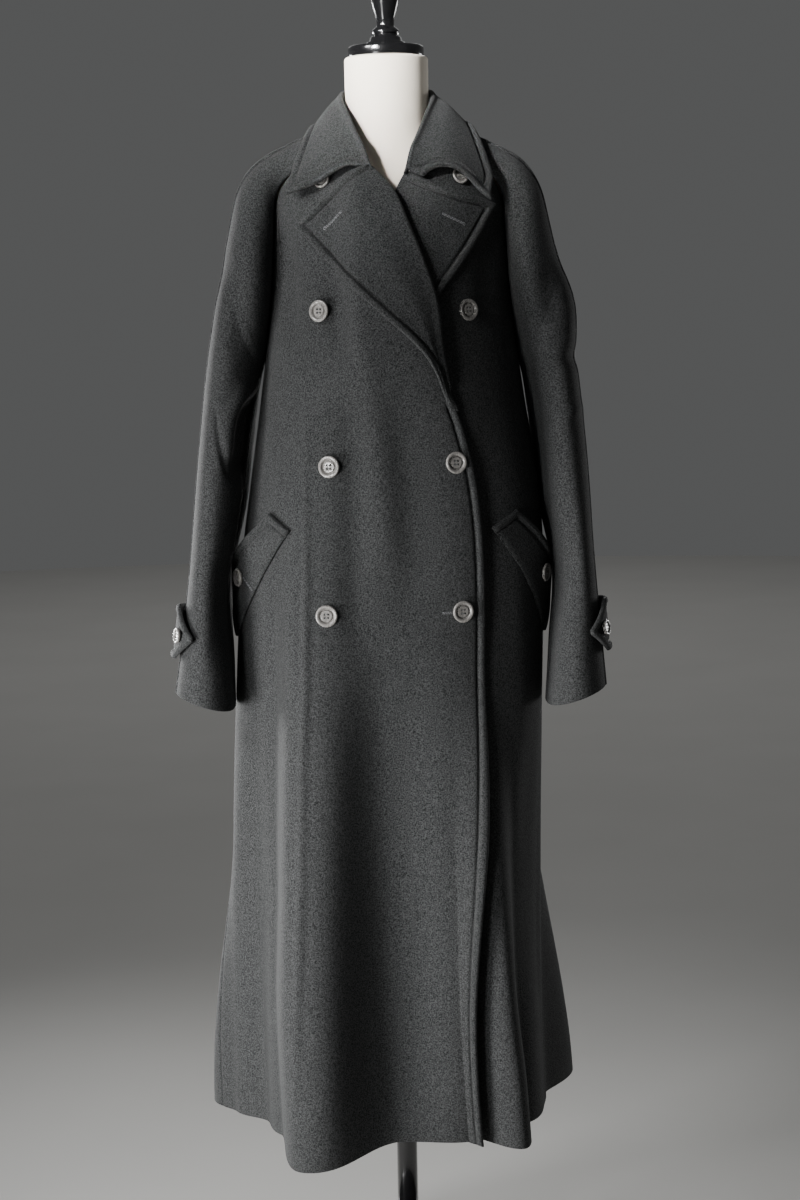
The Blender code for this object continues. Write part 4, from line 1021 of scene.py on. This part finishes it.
def lapel_points(panel, edge_table, lapel_table, inward, heights, shares):
    """Face and back of a lapel: a row for each height on the roll, columns over the turn to its edge."""
    edge_x = read(edge_table, heights).reach
    angle = angle_for(edge_x, heights)
    out = body_out(angle, heights)
    rim = front_place(panel, angle, heights, np.full_like(heights, -0.5 * WALL))
    onto = front_place(panel, angle + TURN_ANGLE * inward, heights, np.full_like(heights, -0.5 * WALL)) - rim
    onto = unit(onto - out * np.sum(onto * out, -1, keepdims=True))
    grown = smooth((heights - heights[0]) / LAPEL_GROWTH)[:, None]
    small = LAPEL_THIN * WALL + (LAPEL_BEND * WALL + LAPEL_CLEAR) * grown
    large = small + WALL * (LAPEL_THIN + (1.0 - LAPEL_THIN) * grown)
    face, back = [rim + onto * TAIL - out * large], [rim + onto * TAIL - out * small]
    for k in range(TURN_STEPS + 1):
        turned_by = math.pi * k / TURN_STEPS
        spoke = -out * math.cos(turned_by) - onto * math.sin(turned_by)
        face.append(rim + spoke * large)
        back.append(rim + spoke * small)
    row = read(lapel_table, heights)
    grown = grown[:, 0]
    inset = inward * ROLL_INSET
    near_top = smooth((heights - heights[-1] + GORGE_HEIGHT) / GORGE_HEIGHT)
    for share in shares:
        across = edge_x + inset + (row.edge_x - edge_x - inset) * share
        gorge = near_top * math.sin(math.pi * min(share / GORGE_LENGTH, 1.0)) ** GORGE_POWER
        level = heights + (row.edge_z - heights) * share - GORGE_DROP[panel] * gorge
        spot = angle_for(across, level)
        stand = LAPEL_CLEAR + LAPEL_RISE * ramp(share, LAPEL_ONSET) + EDGE_RISE * ramp(share, EDGE_ONSET)
        lift = stand * grown - LAPEL_SINK * WALL * (1.0 - grown) + GORGE_RISE[panel] * gorge
        back.append(front_place(panel, spot, level, lift))
        face.append(front_place(panel, spot, level, lift + WALL * (0.5 + 0.5 * grown)))
    return np.stack(face, 1), np.stack(back, 1)


def lapel_piece(name, panel, edge_table, lapel_table, inward):
    """A lapel's wall, with the face and directions of the part that lies on the chest."""
    low, high = lapel_table[0].roll_height, lapel_table[-1].roll_height
    heights = np.linspace(low, high - RIM_STEPS[-1], LAPEL_ROWS)[:-1]
    heights = np.concatenate([heights, high - RIM_STEPS[::-1]])
    widest = float(np.hypot(lapel_table[-1].edge_x - edge_table[-2].reach, TOP_SLOPE))
    shares = np.linspace(FIRST_SHARE, 1.0 - RIM_STEPS[-1] / widest, LAPEL_COLUMNS)[:-1]
    shares = np.concatenate([shares, 1.0 - RIM_STEPS[::-1] / widest])
    grid, back = lapel_points(panel, edge_table, lapel_table, inward, heights, shares)
    out = unit(grid - back)
    flat = TURN_STEPS + 2
    gaps, distance = edge_gaps(grid, last_column=grid[:, -1], last_row=grid[-1, flat:])
    rise, sink = edge_lifts(distance, distance)
    face = lifted(grid, out, rise)
    made = wall(name, face, lifted(grid, out, sink), wool)
    face, out = face[:, flat:], out[:, flat:]
    topstitched.append((face, out, {side: gap[:, flat:] for side, gap in gaps.items()}))
    return made, face, out


lapel_right, right_face, right_out = lapel_piece("coat_lapel_right", "upper", UPPER_EDGE, UPPER_LAPEL, -1.0)
lapel_left, left_face, left_out = lapel_piece("coat_lapel_left", "under", UNDER_EDGE, UNDER_LAPEL, 1.0)
stands_for(lapel_right, "lapel_right")
stands_for(lapel_left, "lapel_left")

# The pocket flaps: pointed two-layer pieces sewn on a slant over each hip pocket and turned to the side.
# They are stitched round their free edges and held by a button at the point.
FLAP_WALL = 0.004
LAYER_GAP = 0.0010
# The free edge stands off and leans forward, less at the flap's upper end and where it is buttoned
FLAP_STAND = {"right": 0.005, "left": 0.003}
FLAP_FORWARD = 0.017
FLAP_CURVE = 1.5
UPPER_END_SHARE = 0.05
UPPER_END = Ramp(0.0, 0.45)
BUTTONED_SHARE = 0.8
BUTTONED_END = Ramp(0.55, 0.45)
# The seam that it turns over is sunk, except beside the rims
FLAP_SEAM_DEPTH = 0.6 * WALL
FLAP_SEAM_SPREAD = 0.004
SEAM_END = 0.008
FlapRow = namedtuple("FlapRow", "along sewn_angle sewn_z free_angle free_z")
FLAP = [
    FlapRow(0.00, 39.0, 1.071, 53.0, 1.091),
    FlapRow(0.55, 60.5, 0.990, 88.0, 1.022),
    FlapRow(1.00, 78.0, 0.924, 91.0, 0.956),
]
FLAP_LENGTH = 0.19
FLAP_WIDTH = 0.085
TIP_STEP = 0.01
UPPER_ROWS = 14
LOWER_ROWS = 12
FLAP_COLUMNS = 18


def flap_points(side, along, share):
    """Back and face of a flap: along its sewn edge, a share of the way to the free edge."""
    columns = np.array(FLAP).T
    row = FlapRow(along, *[np.interp(along, columns[0], column) for column in columns[1:]])
    angle = SIDES[side] * (row.sewn_angle + (row.free_angle - row.sewn_angle) * share)
    height = row.sewn_z + (row.free_z - row.sewn_z) * share
    free = share**FLAP_CURVE * (UPPER_END_SHARE + (1.0 - UPPER_END_SHARE) * ramp(along, UPPER_END))
    lift = LAYER_GAP + FLAP_STAND[side] * free * (1.0 - BUTTONED_SHARE * ramp(along, BUTTONED_END))
    forward = FLAP_FORWARD * free[..., None] * (0.0, -1.0, 0.0)
    panel = "upper" if side == "right" else "under"
    return [front_place(panel, angle, height, lift + thick) + forward for thick in (0.0, FLAP_WALL)]


def pocket_flap(side):
    """A flap's wall, with its face and directions."""
    ends = RIM_STEPS / FLAP_LENGTH
    tip = FLAP[1].along
    upper = np.linspace(ends[-1], tip - 2.0 * TIP_STEP, UPPER_ROWS)[1:]
    lower = np.linspace(tip + 2.0 * TIP_STEP, 1.0 - ends[-1], LOWER_ROWS)[:-1]
    alongs = np.concatenate([ends, upper, [tip - TIP_STEP, tip, tip + TIP_STEP], lower, 1.0 - ends[::-1]])
    rim = RIM_STEPS / FLAP_WIDTH
    shares = np.concatenate([np.linspace(0.0, 1.0 - rim[-1], FLAP_COLUMNS)[:-1], 1.0 - rim[::-1]])
    back, grid = flap_points(side, *np.meshgrid(alongs, shares, indexing="ij"))
    out = unit(grid - back)
    gaps, distance = edge_gaps(grid, first_row=grid[0], last_column=grid[:, -1], last_row=grid[-1])
    rise, sink = edge_lifts(distance, distance)
    sunk = trough(shares[None, :] * FLAP_WIDTH, FLAP_SEAM_DEPTH, FLAP_SEAM_SPREAD)
    face = lifted(grid, out, rise - sunk * smooth(distance / SEAM_END))
    topstitched.append((face, out, gaps))
    return wall(f"flap_{side}", face, lifted(grid, out, sink - (FLAP_WALL - WALL)), wool), face, out


for side, front in (("left", "coat_under_front"), ("right", "coat_upper_front")):
    piece, flap_face, flap_out = pocket_flap(side)
    stands_for(piece, f"pocket_flap_{side}")

# The cuff tabs: narrow pointed straps, turned and stitched, sewn into the sleeve's back seam.
# They lie round the outer arm and are buttoned near the point, standing a little off the sleeve.
TAB_MIDDLE = 11.02
TAB_HALF = 0.40
TAB_BACK = -0.50
TAB_FRONT = 0.40
TAB_TILT = -0.22
TAB_LENGTH = 0.145
TAB_WIDTH = 0.062
# The point begins at this share of the length and narrows by this share of the width
POINT_START = 0.72
POINT_NARROWING = 0.92
TAB_STAND = 0.006
TAB_ONSET = Ramp(0.0, 0.55)
STRAIGHT_SHARE = 0.70
STRAIGHT_ROWS = 26
POINT_ROWS = 8
TAB_COLUMNS = 9
SLOPE_STEP = 0.01


def tab_points(side, share, across):
    """Back and face of a tab: a share of the way from its sewn end to its point, across from -1 to 1."""
    around = TAB_BACK + (TAB_FRONT - TAB_BACK) * share
    pointed = np.clip(share - POINT_START, 0.0, None) / (1.0 - POINT_START)
    station = TAB_MIDDLE + TAB_TILT * around + TAB_HALF * (1.0 - POINT_NARROWING * pointed) * across
    grid = sleeve_ring(station, -around)
    out = unit(np.cross(
        sleeve_ring(station + SLOPE_STEP, -around) - sleeve_ring(station - SLOPE_STEP, -around),
        sleeve_ring(station, -around + SLOPE_STEP) - sleeve_ring(station, -around - SLOPE_STEP)))
    lift = LAYER_GAP + TAB_STAND * ramp(share, TAB_ONSET)
    return [sided(side, lifted(grid, out, lift + thick)) for thick in (0.0, WALL)]


def cuff_tab(side):
    """A tab's wall."""
    ends = RIM_STEPS / TAB_LENGTH
    straight = np.linspace(0.0, STRAIGHT_SHARE, STRAIGHT_ROWS)[:-1]
    point = np.linspace(STRAIGHT_SHARE, 1.0 - ends[-1], POINT_ROWS)[:-1]
    shares = np.concatenate([straight, point, 1.0 - ends[::-1]])
    edges = 2.0 * RIM_STEPS[:-2] / TAB_WIDTH
    middle = np.linspace(-1.0 + edges[-1], 1.0 - edges[-1], TAB_COLUMNS)[1:-1]
    acrosses = np.concatenate([-1.0 + edges, middle, 1.0 - edges[::-1]])
    back, grid = tab_points(side, *np.meshgrid(shares, acrosses, indexing="ij"))
    out = unit(grid - back)
    gaps, distance = edge_gaps(grid, first_column=grid[:, 0], last_column=grid[:, -1], last_row=grid[-1])
    rise, sink = edge_lifts(distance, distance)
    face = lifted(grid, out, rise)
    topstitched.append((face, out, gaps))
    return wall(f"tab_{side}", face, lifted(grid, out, sink), wool)


for side in SIDES:
    piece = cuff_tab(side)
    stands_for(piece, f"cuff_tab_{side}")

# The stitching: rows of lockstitch a finger's width inside each turned edge, two beside each overarm seam.
# It is sewn by machine through all layers with waxed thread and lies sunk in the trough that it pulls.
STITCH_PITCH = 0.0050
STITCH_LENGTH = 0.0038
STITCH_RADIUS = 0.00042
STITCH_POINTS = 5
STITCH_SIDES = 6
FIRST_STITCH = 0.002
# A line with fewer points is only a corner of its cloth
FEWEST_POINTS = 4
# A stitch dives under at both ends and arches over the cloth between, in radii of its thread
STITCH_ARCH = 1.6
STITCH_DIVE = 0.6
# A direction that no stitch or thread runs along, to turn its rings by
ASKEW = np.array((0.13, 0.29, 0.95))

# Waxed thread: tightly twisted black cotton, its strands about 0.4 mm apart, with a dull wax shine.
STRAND_MM = 0.4
# The same black thread finish also colours the cord of painted shade in each buttonhole's slit.
thread, tree, shader, place = new_finish("waxed_black_thread_and_slit_shade", Base_Color=srgb("#131314"), Roughness=0.55,
                                         IOR=1.5)
strand = add(tree, "ShaderNodeTexWave", {"Scale": 1000.0 / STRAND_MM / math.tau, "Distortion": 1.0},
             {"Vector": place}, bands_direction="DIAGONAL")
twist = add(tree, "ShaderNodeBump", {"Strength": 0.5, "Distance": 0.0001}, {"Height": strand.outputs["Fac"]})
tree.links.new(twist.outputs["Normal"], shader.inputs["Normal"])


def stitch_line(face, out, gaps, side):
    """The line a rim's width inside one side of a grid, and the directions square to the cloth along it."""
    others = [gap for name, gap in gaps.items() if name != side]
    clear = np.minimum.reduce(others) > RIM_WIDTH if others else np.ones(face.shape[:2], bool)
    gap = gaps[side]
    if side.endswith("row"):
        face, out, gap, clear = face.swapaxes(0, 1), out.swapaxes(0, 1), gap.T, clear.T
    if side.startswith("first"):
        face, out, gap, clear = face[:, ::-1], out[:, ::-1], gap[:, ::-1], clear[:, ::-1]
    points, facing = [], []
    for row_face, row_out, row_gap, row_clear in zip(face, out, gap, clear):
        passing = np.flatnonzero((row_gap[:-1] > RIM_WIDTH) & (row_gap[1:] <= RIM_WIDTH) & row_clear[:-1])
        if len(passing):
            k = passing[-1]
            t = (row_gap[k] - RIM_WIDTH) / (row_gap[k] - row_gap[k + 1])
            points.append(row_face[k] * (1.0 - t) + row_face[k + 1] * t)
            facing.append(row_out[k])
    return np.array(points), np.array(facing)


def stitches(points, facing):
    """Short arched threads along a line: an array of stitches, each with its path's points."""
    length = run_lengths(points[None])[0]
    starts = np.arange(FIRST_STITCH, length[-1] - STITCH_LENGTH, STITCH_PITCH)
    share = np.linspace(0.0, 1.0, STITCH_POINTS)
    wanted = starts[:, None] + STITCH_LENGTH * share
    path, square = [np.stack([np.interp(wanted, length, row[:, k]) for k in range(3)], -1)
                    for row in (points, facing)]
    return lifted(path, unit(square), STITCH_RADIUS * (STITCH_ARCH * np.sin(np.pi * share) - STITCH_DIVE))


def swept(path, radius, sides):
    """Rings of points round paths of points, for cord-like pieces."""
    way = unit(np.gradient(path, axis=-2))
    across = unit(np.cross(way, ASKEW))
    above = np.cross(way, across)
    turn = (np.arange(sides) * math.tau / sides)[:, None]
    spoke = np.cos(turn) * across[..., None, :] + np.sin(turn) * above[..., None, :]
    return path[..., None, :] + radius * spoke


def cords(name, paths, radius, finish, sides):
    """Many cords of equal numbers of points in one mesh, their ends capped."""
    rings = swept(paths, radius, sides)
    count, steps = rings.shape[:2]
    number = np.arange(count * steps * sides).reshape(count, steps, sides)
    following = np.roll(number, -1, axis=2)
    quads = np.stack([number[:, :-1], following[:, :-1], following[:, 1:], number[:, 1:]], -1).reshape(-1, 4)
    caps = np.concatenate([number[:, 0, ::-1], number[:, -1]])
    return put(name, rings.reshape(-1, 3), quads.tolist() + caps.tolist(), finish)


paths = []
for face, out, gaps in topstitched:
    for side in gaps:
        points, facing = stitch_line(face, out, gaps, side)
        if len(points) >= FEWEST_POINTS:
            paths.append(stitches(points, facing))
topstitching = cords("topstitching", np.concatenate(paths), STITCH_RADIUS, thread, STITCH_SIDES)
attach(topstitching, "root")

# The buttonholes: a slit with a round eyelet, cut after its edge is worked in grey silk twist.
# One is in each lapel; of the hip's and the pocket's only the end beside the button shows. The shade in each
# slit is painted as a black cord.
Hole = namedtuple("Hole", "name face out eye end")
BUTTONHOLES = [
    Hole("lapel_right", right_face, right_out, (-0.081, 1.452), (-0.059, 1.471)),
    Hole("lapel_left", left_face, left_out, (0.093, 1.454), (0.067, 1.466)),
    Hole("hip_left", upper_face, upper_out, (0.084, 0.966), (0.058, 0.967)),
    Hole("pocket_right", flap_face, flap_out, (-0.201, 1.008), (-0.187, 0.991)),
]
EYELET_RADIUS = 0.0017
SLIT_HALF = 0.0008
TWIST_RADIUS = 0.00055
TWIST_RAISED = 0.5 * TWIST_RADIUS
# Radius of the black cord of painted shade sunk in each slit
SLIT_SHADE_RADIUS = 0.7 * SLIT_HALF
SLIT_START = -0.5 * EYELET_RADIUS
SLIT_SUNK = 0.0001
HOLE_SIDES = 8
EDGE_POINTS = 12
SLIT_POINTS = 14
# The eyelet is round but for the part that opens into the slit
EYELET_TURN = np.linspace(0.18, 1.82, 15) * math.pi

# Silk twist: pale grey thread in close upright loops about 0.9 mm apart, softly shining.
LOOP_MM = 0.9
silk, tree, shader, place = new_finish("grey_silk_twist", Roughness=0.45, IOR=1.5, Sheen_Weight=0.2)
loop = add(tree, "ShaderNodeTexWave", {"Scale": 1000.0 / LOOP_MM / math.tau, "Distortion": 2.0},
           {"Vector": place}, bands_direction="DIAGONAL")
tone = add(tree, "ShaderNodeMix", {COLOUR_A: srgb("#2B2C2E"), COLOUR_B: srgb("#66686A")},
           {SHARE: loop.outputs["Fac"]}, data_type="RGBA")
tree.links.new(tone.outputs[MIXED], shader.inputs["Base Color"])
ribs = add(tree, "ShaderNodeBump", {"Strength": 0.6, "Distance": 0.0003}, {"Height": loop.outputs["Fac"]})
tree.links.new(ribs.outputs["Normal"], shader.inputs["Normal"])


def on_face(face, out, points):
    """Points moved square to the cloth onto a grid's face, from the nearest of its points."""
    flat, facing = face.reshape(-1, 3), out.reshape(-1, 3)
    nearest = np.argmin(np.linalg.norm(points[:, None] - flat[None], axis=2), axis=1)
    square = facing[nearest]
    return points + square * np.sum((flat[nearest] - points) * square, axis=1)[:, None], square


def face_spot(face, out, across, height):
    """The place of a grid's face seen from the front at a place across and a height, and its direction."""
    k = np.argmin(np.hypot(face[..., 0] - across, face[..., 2] - height))
    return face.reshape(-1, 3)[k], out.reshape(-1, 3)[k]


def buttonhole(hole):
    """The worked edge as one closed loop of twist, and a black cord along the slit inside it: painted shade
    of the opening.
    """
    eye, square = face_spot(hole.face, hole.out, *hole.eye)
    end, _ = face_spot(hole.face, hole.out, *hole.end)
    along = unit(end - eye)
    axes = np.stack([along, np.cross(square, along)])
    length = np.linalg.norm(end - eye)
    round_eye = np.stack([np.cos(EYELET_TURN), np.sin(EYELET_TURN)], -1) * EYELET_RADIUS
    down = np.stack([np.linspace(EYELET_RADIUS, length, EDGE_POINTS), np.full(EDGE_POINTS, -SLIT_HALF)], -1)
    loop_path = np.concatenate([round_eye, down, down[::-1] * (1.0, -1.0), round_eye[:1]])
    points, facing = on_face(hole.face, hole.out, eye + loop_path @ axes)
    worked = points + facing * TWIST_RAISED
    # A black cord along the slit, just under the face: painted shade where the cut opens
    slit = np.stack([np.linspace(SLIT_START, length, SLIT_POINTS), np.zeros(SLIT_POINTS)], -1)
    points, facing = on_face(hole.face, hole.out, eye + slit @ axes)
    sunk = points - facing * SLIT_SUNK
    return (cords(f"buttonhole_{hole.name}", worked[None], TWIST_RADIUS, silk, HOLE_SIDES),
            cords(f"buttonhole_slit_shade_{hole.name}", sunk[None], SLIT_SHADE_RADIUS, thread, HOLE_SIDES))


for hole in BUTTONHOLES:
    for piece in buttonhole(hole):
        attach(piece, "root")

# The buttons: four-hole buttons turned from dark horn, with a raised rim, a groove and a shallow dish.
# Each is sewn through its cloth with the buttonholes' grey twist; all are at the places of their solids.
ButtonRing = namedtuple("ButtonRing", "share height")
BUTTON_PROFILE = [ButtonRing(*ring) for ring in (
    (0.30, 0.00010), (0.70, 0.00025), (0.90, 0.00070), (0.965, 0.00150), (0.995, 0.00240),
    (1.000, 0.00310), (0.985, 0.00390), (0.950, 0.00445), (0.900, 0.00475), (0.840, 0.00480),
    (0.780, 0.00460), (0.725, 0.00420), (0.680, 0.00360), (0.645, 0.00250), (0.615, 0.00165),
    (0.580, 0.00140), (0.555, 0.00180), (0.530, 0.00270), (0.500, 0.00330), (0.460, 0.00340),
    (0.250, 0.00310), (0.080, 0.00305))]
HOLE_RADIUS = 0.0013
HOLE_REACH = 0.0022
DRILL_MIDDLE = 0.003
DRILL_LENGTH = 0.008
DRILL_SIDES = 20
BUTTON_EDGE_ANGLE = math.radians(40.0)
# Two threads lie side by side over each pair of holes
THREAD_RADIUS = 0.00024
THREAD_SIDES = 8
THREAD_POINTS = 15
THREAD_BESIDE = 0.00027
THREAD_LOW = 0.0020
THREAD_ARCH = 0.0013
THREAD_BEND = 0.7
BUTTON_SIZES = {"collar": 0.022, "chest": 0.028, "waist": 0.028, "hip": 0.028, "pocket": 0.024, "cuff": 0.020}
HOLES = [(-1.0, -1.0), (1.0, -1.0), (1.0, 1.0), (-1.0, 1.0)]

# Polished dark horn: smoky grey-brown with paler streaks along the grain and a wet-looking polish.
# The streaks are about 3 mm wide.
STREAK_MM = 3.0
horn, tree, shader, place = new_finish("polished_dark_horn", IOR=1.54, Coat_Weight=0.35, Coat_Roughness=0.08)
grain = add(tree, "ShaderNodeMapping", {"Scale": (1.0, 0.35, 1.0)}, {"Vector": place})
streak = add(tree, "ShaderNodeTexNoise", {"Scale": 1000.0 / STREAK_MM, "Detail": 4.0, "Distortion": 0.8},
             {"Vector": grain.outputs["Vector"]})
smoke = add(tree, "ShaderNodeMix", {COLOUR_A: srgb("#4E4C4A"), COLOUR_B: srgb("#94918D")},
            {SHARE: streak.outputs["Fac"]}, data_type="RGBA")
tree.links.new(smoke.outputs[MIXED], shader.inputs["Base Color"])
polish = add(tree, "ShaderNodeMapRange", {"To Min": 0.18, "To Max": 0.34}, {"Value": streak.outputs["Fac"]})
tree.links.new(polish.outputs["Result"], shader.inputs["Roughness"])


def button_mesh(name, size):
    """A button with its back at Z = 0: turned, drilled and threaded."""
    blank = turned(name + "_blank", [(ring.share * 0.5 * size, ring.height) for ring in BUTTON_PROFILE], horn)
    drill = bmesh.new()
    for x, y in HOLES:
        spot = Matrix.Translation((x * HOLE_REACH, y * HOLE_REACH, DRILL_MIDDLE))
        bmesh.ops.create_cone(drill, cap_ends=True, segments=DRILL_SIDES, radius1=HOLE_RADIUS,
                              radius2=HOLE_RADIUS, depth=DRILL_LENGTH, matrix=spot)
    bits = bpy.data.meshes.new(name + "_bits")
    drill.to_mesh(bits)
    drill.free()
    cutter = bpy.data.objects.new(name + "_bits", bits)
    bpy.context.collection.objects.link(cutter)
    cut = blank.modifiers.new("holes", "BOOLEAN")
    cut.operation = "DIFFERENCE"
    cut.object = cutter
    bpy.context.view_layer.update()
    made = bpy.data.meshes.new_from_object(blank.evaluated_get(bpy.context.evaluated_depsgraph_get()))
    for spare in (blank, cutter):
        bpy.data.objects.remove(spare, do_unlink=True)
    made.name = name
    joined = bmesh.new()
    joined.from_mesh(made)
    turn = np.linspace(0.0, math.pi, THREAD_POINTS)
    rise = THREAD_LOW + THREAD_ARCH * np.sin(turn) ** THREAD_BEND
    for y in (-HOLE_REACH, HOLE_REACH):
        for beside in (-THREAD_BESIDE, THREAD_BESIDE):
            arc = np.stack([-HOLE_REACH * np.cos(turn), np.full(THREAD_POINTS, y + beside), rise], -1)
            rings = swept(arc, THREAD_RADIUS, THREAD_SIDES)
            rings = [[joined.verts.new(point) for point in ring] for ring in rings]
            for one, two in zip(rings[:-1], rings[1:]):
                for k in range(THREAD_SIDES):
                    joined.faces.new((one[k - 1], one[k], two[k], two[k - 1])).material_index = 1
            joined.faces.new(rings[0]).material_index = 1
            joined.faces.new(rings[-1][::-1]).material_index = 1
    bmesh.ops.recalc_face_normals(joined, faces=[face for face in joined.faces if face.material_index == 1])
    joined.to_mesh(made)
    joined.free()
    made.materials.append(silk)
    made.shade_smooth()
    made.set_sharp_from_angle(angle=BUTTON_EDGE_ANGLE)
    return made


def button_frame(node):
    """Where a button's solid has its back and which way its face looks."""
    points = np.array([vertex.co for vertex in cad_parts[node].data.vertices])
    middle = 0.5 * (points.min(0) + points.max(0))
    axis = points.mean(0)
    out = np.linalg.svd(points - axis)[2][2]
    out = out * np.sign(out @ (middle * (1.0, 1.0, 0.0)))
    return Vector(axis + out * ((points - axis) @ out).min()), Vector(out)


for kind, size in BUTTON_SIZES.items():
    pattern = button_mesh(f"horn_button_{kind}", size)
    for side in SIDES:
        spot, facing = button_frame(f"button_{kind}_{side}")
        piece = bpy.data.objects.new(f"horn_button_{kind}_{side}", pattern)
        piece.matrix_world = Matrix.Translation(spot) @ facing.to_track_quat("Z", "Y").to_matrix().to_4x4()
        bpy.context.collection.objects.link(piece)
        stands_for(piece, f"button_{kind}_{side}")

# The floor, light and camera: a plain pale floor; soft lamps at the wearer's right for skirt, chest, front
# and neck, weak fill from the left, three lamps behind for the back, and one over the far floor.
# The camera stands three metres in front at chest height and looks a little down.
CAMERA_PLACE = (0.0, -3.0, 1.36)
CAMERA_PITCH = math.radians(7.52)
CAMERA_ROLL = math.radians(1.11)
FOCAL_PIXELS = 2272.7
IMAGE_HEIGHT = 1200.0
AXIS_OFFSET_PIXELS = 3.5
SENSOR_WIDTH = 36.0
FLOOR_RADIUS = 9.0
FLOOR_STEPS = 64
FLOOR_DROP = 0.0005
SKY_STRENGTH = 0.35

# Painted floor: matt pale grey, faintly scuffed in patches of about 400 mm.
SCUFF_MM = 400.0
floor_finish, tree, shader, place = new_finish("pale_painted_floor", Roughness=0.8)
scuff = add(tree, "ShaderNodeTexNoise", {"Scale": 1000.0 / SCUFF_MM, "Detail": 3.0}, {"Vector": place})
paint = add(tree, "ShaderNodeMix", {COLOUR_A: srgb("#A8A7A4"), COLOUR_B: srgb("#B0AFAC")},
            {SHARE: scuff.outputs["Fac"]}, data_type="RGBA")
tree.links.new(paint.outputs[MIXED], shader.inputs["Base Color"])
way = np.arange(FLOOR_STEPS) * math.tau / FLOOR_STEPS
level = np.full(FLOOR_STEPS, -FLOOR_DROP)
rim = np.stack([FLOOR_RADIUS * np.cos(way), FLOOR_RADIUS * np.sin(way), level], -1)
floor = put("studio_floor", rim, [list(range(FLOOR_STEPS))], floor_finish)

world = bpy.data.worlds.new("studio")
bpy.context.scene.world = world
world.use_nodes = True
sky = world.node_tree.nodes["Background"]
sky.inputs["Color"].default_value = srgb("#8F9090")
sky.inputs["Strength"].default_value = SKY_STRENGTH

Lamp = namedtuple("Lamp", "name place target size spread power")
LAMPS = [
    Lamp("window_light", (-1.32, -0.96, 0.42), (0.0, -0.05, 0.54), 0.6, 90.0, 16.5),
    Lamp("chest_light", (-1.75, -1.15, 2.45), (0.0, -0.05, 1.20), 0.5, 180.0, 38.0),
    Lamp("panel_light", (-1.15, -1.85, 0.95), (0.04, -0.15, 0.85), 0.5, 60.0, 3.6),
    Lamp("neck_light", (-0.9, -1.3, 2.15), (0.0, -0.02, 1.76), 0.25, 24.0, 3.4),
    Lamp("fill_light", (2.6, -2.6, 1.9), (0.05, 0.0, 1.0), 2.0, 180.0, 1.0),
    Lamp("rear_light", (-1.7, 2.1, 1.05), (0.0, 0.0, 0.95), 0.9, 64.0, 20.0),
    Lamp("rear_fill", (0.6, 2.9, 1.05), (0.0, 0.0, 0.95), 0.9, 64.0, 4.0),
    Lamp("side_fill", (2.1, 1.9, 1.05), (0.0, 0.0, 0.95), 0.9, 64.0, 3.5),
    Lamp("floor_light", (0.0, 6.0, 3.5), (0.0, 6.0, 0.0), 5.0, 180.0, 50.0),
]
for lamp in LAMPS:
    light = bpy.data.lights.new(lamp.name, "AREA")
    light.size = lamp.size
    light.spread = math.radians(lamp.spread)
    light.energy = lamp.power
    holder = bpy.data.objects.new(lamp.name, light)
    aim = Vector(lamp.target) - Vector(lamp.place)
    holder.matrix_world = Matrix.Translation(lamp.place) @ aim.to_track_quat("-Z", "Y").to_matrix().to_4x4()
    holder.visible_camera = False
    bpy.context.collection.objects.link(holder)

lens = bpy.data.cameras.new("camera")
lens.sensor_width = SENSOR_WIDTH
lens.lens = FOCAL_PIXELS / IMAGE_HEIGHT * SENSOR_WIDTH
lens.shift_x = AXIS_OFFSET_PIXELS / IMAGE_HEIGHT
camera = bpy.data.objects.new("camera", lens)
camera.matrix_world = (Matrix.Translation(CAMERA_PLACE) @ Matrix.Rotation(math.pi / 2 - CAMERA_PITCH, 4, "X")
                       @ Matrix.Rotation(-CAMERA_ROLL, 4, "Z"))
bpy.context.collection.objects.link(camera)
bpy.context.scene.camera = camera
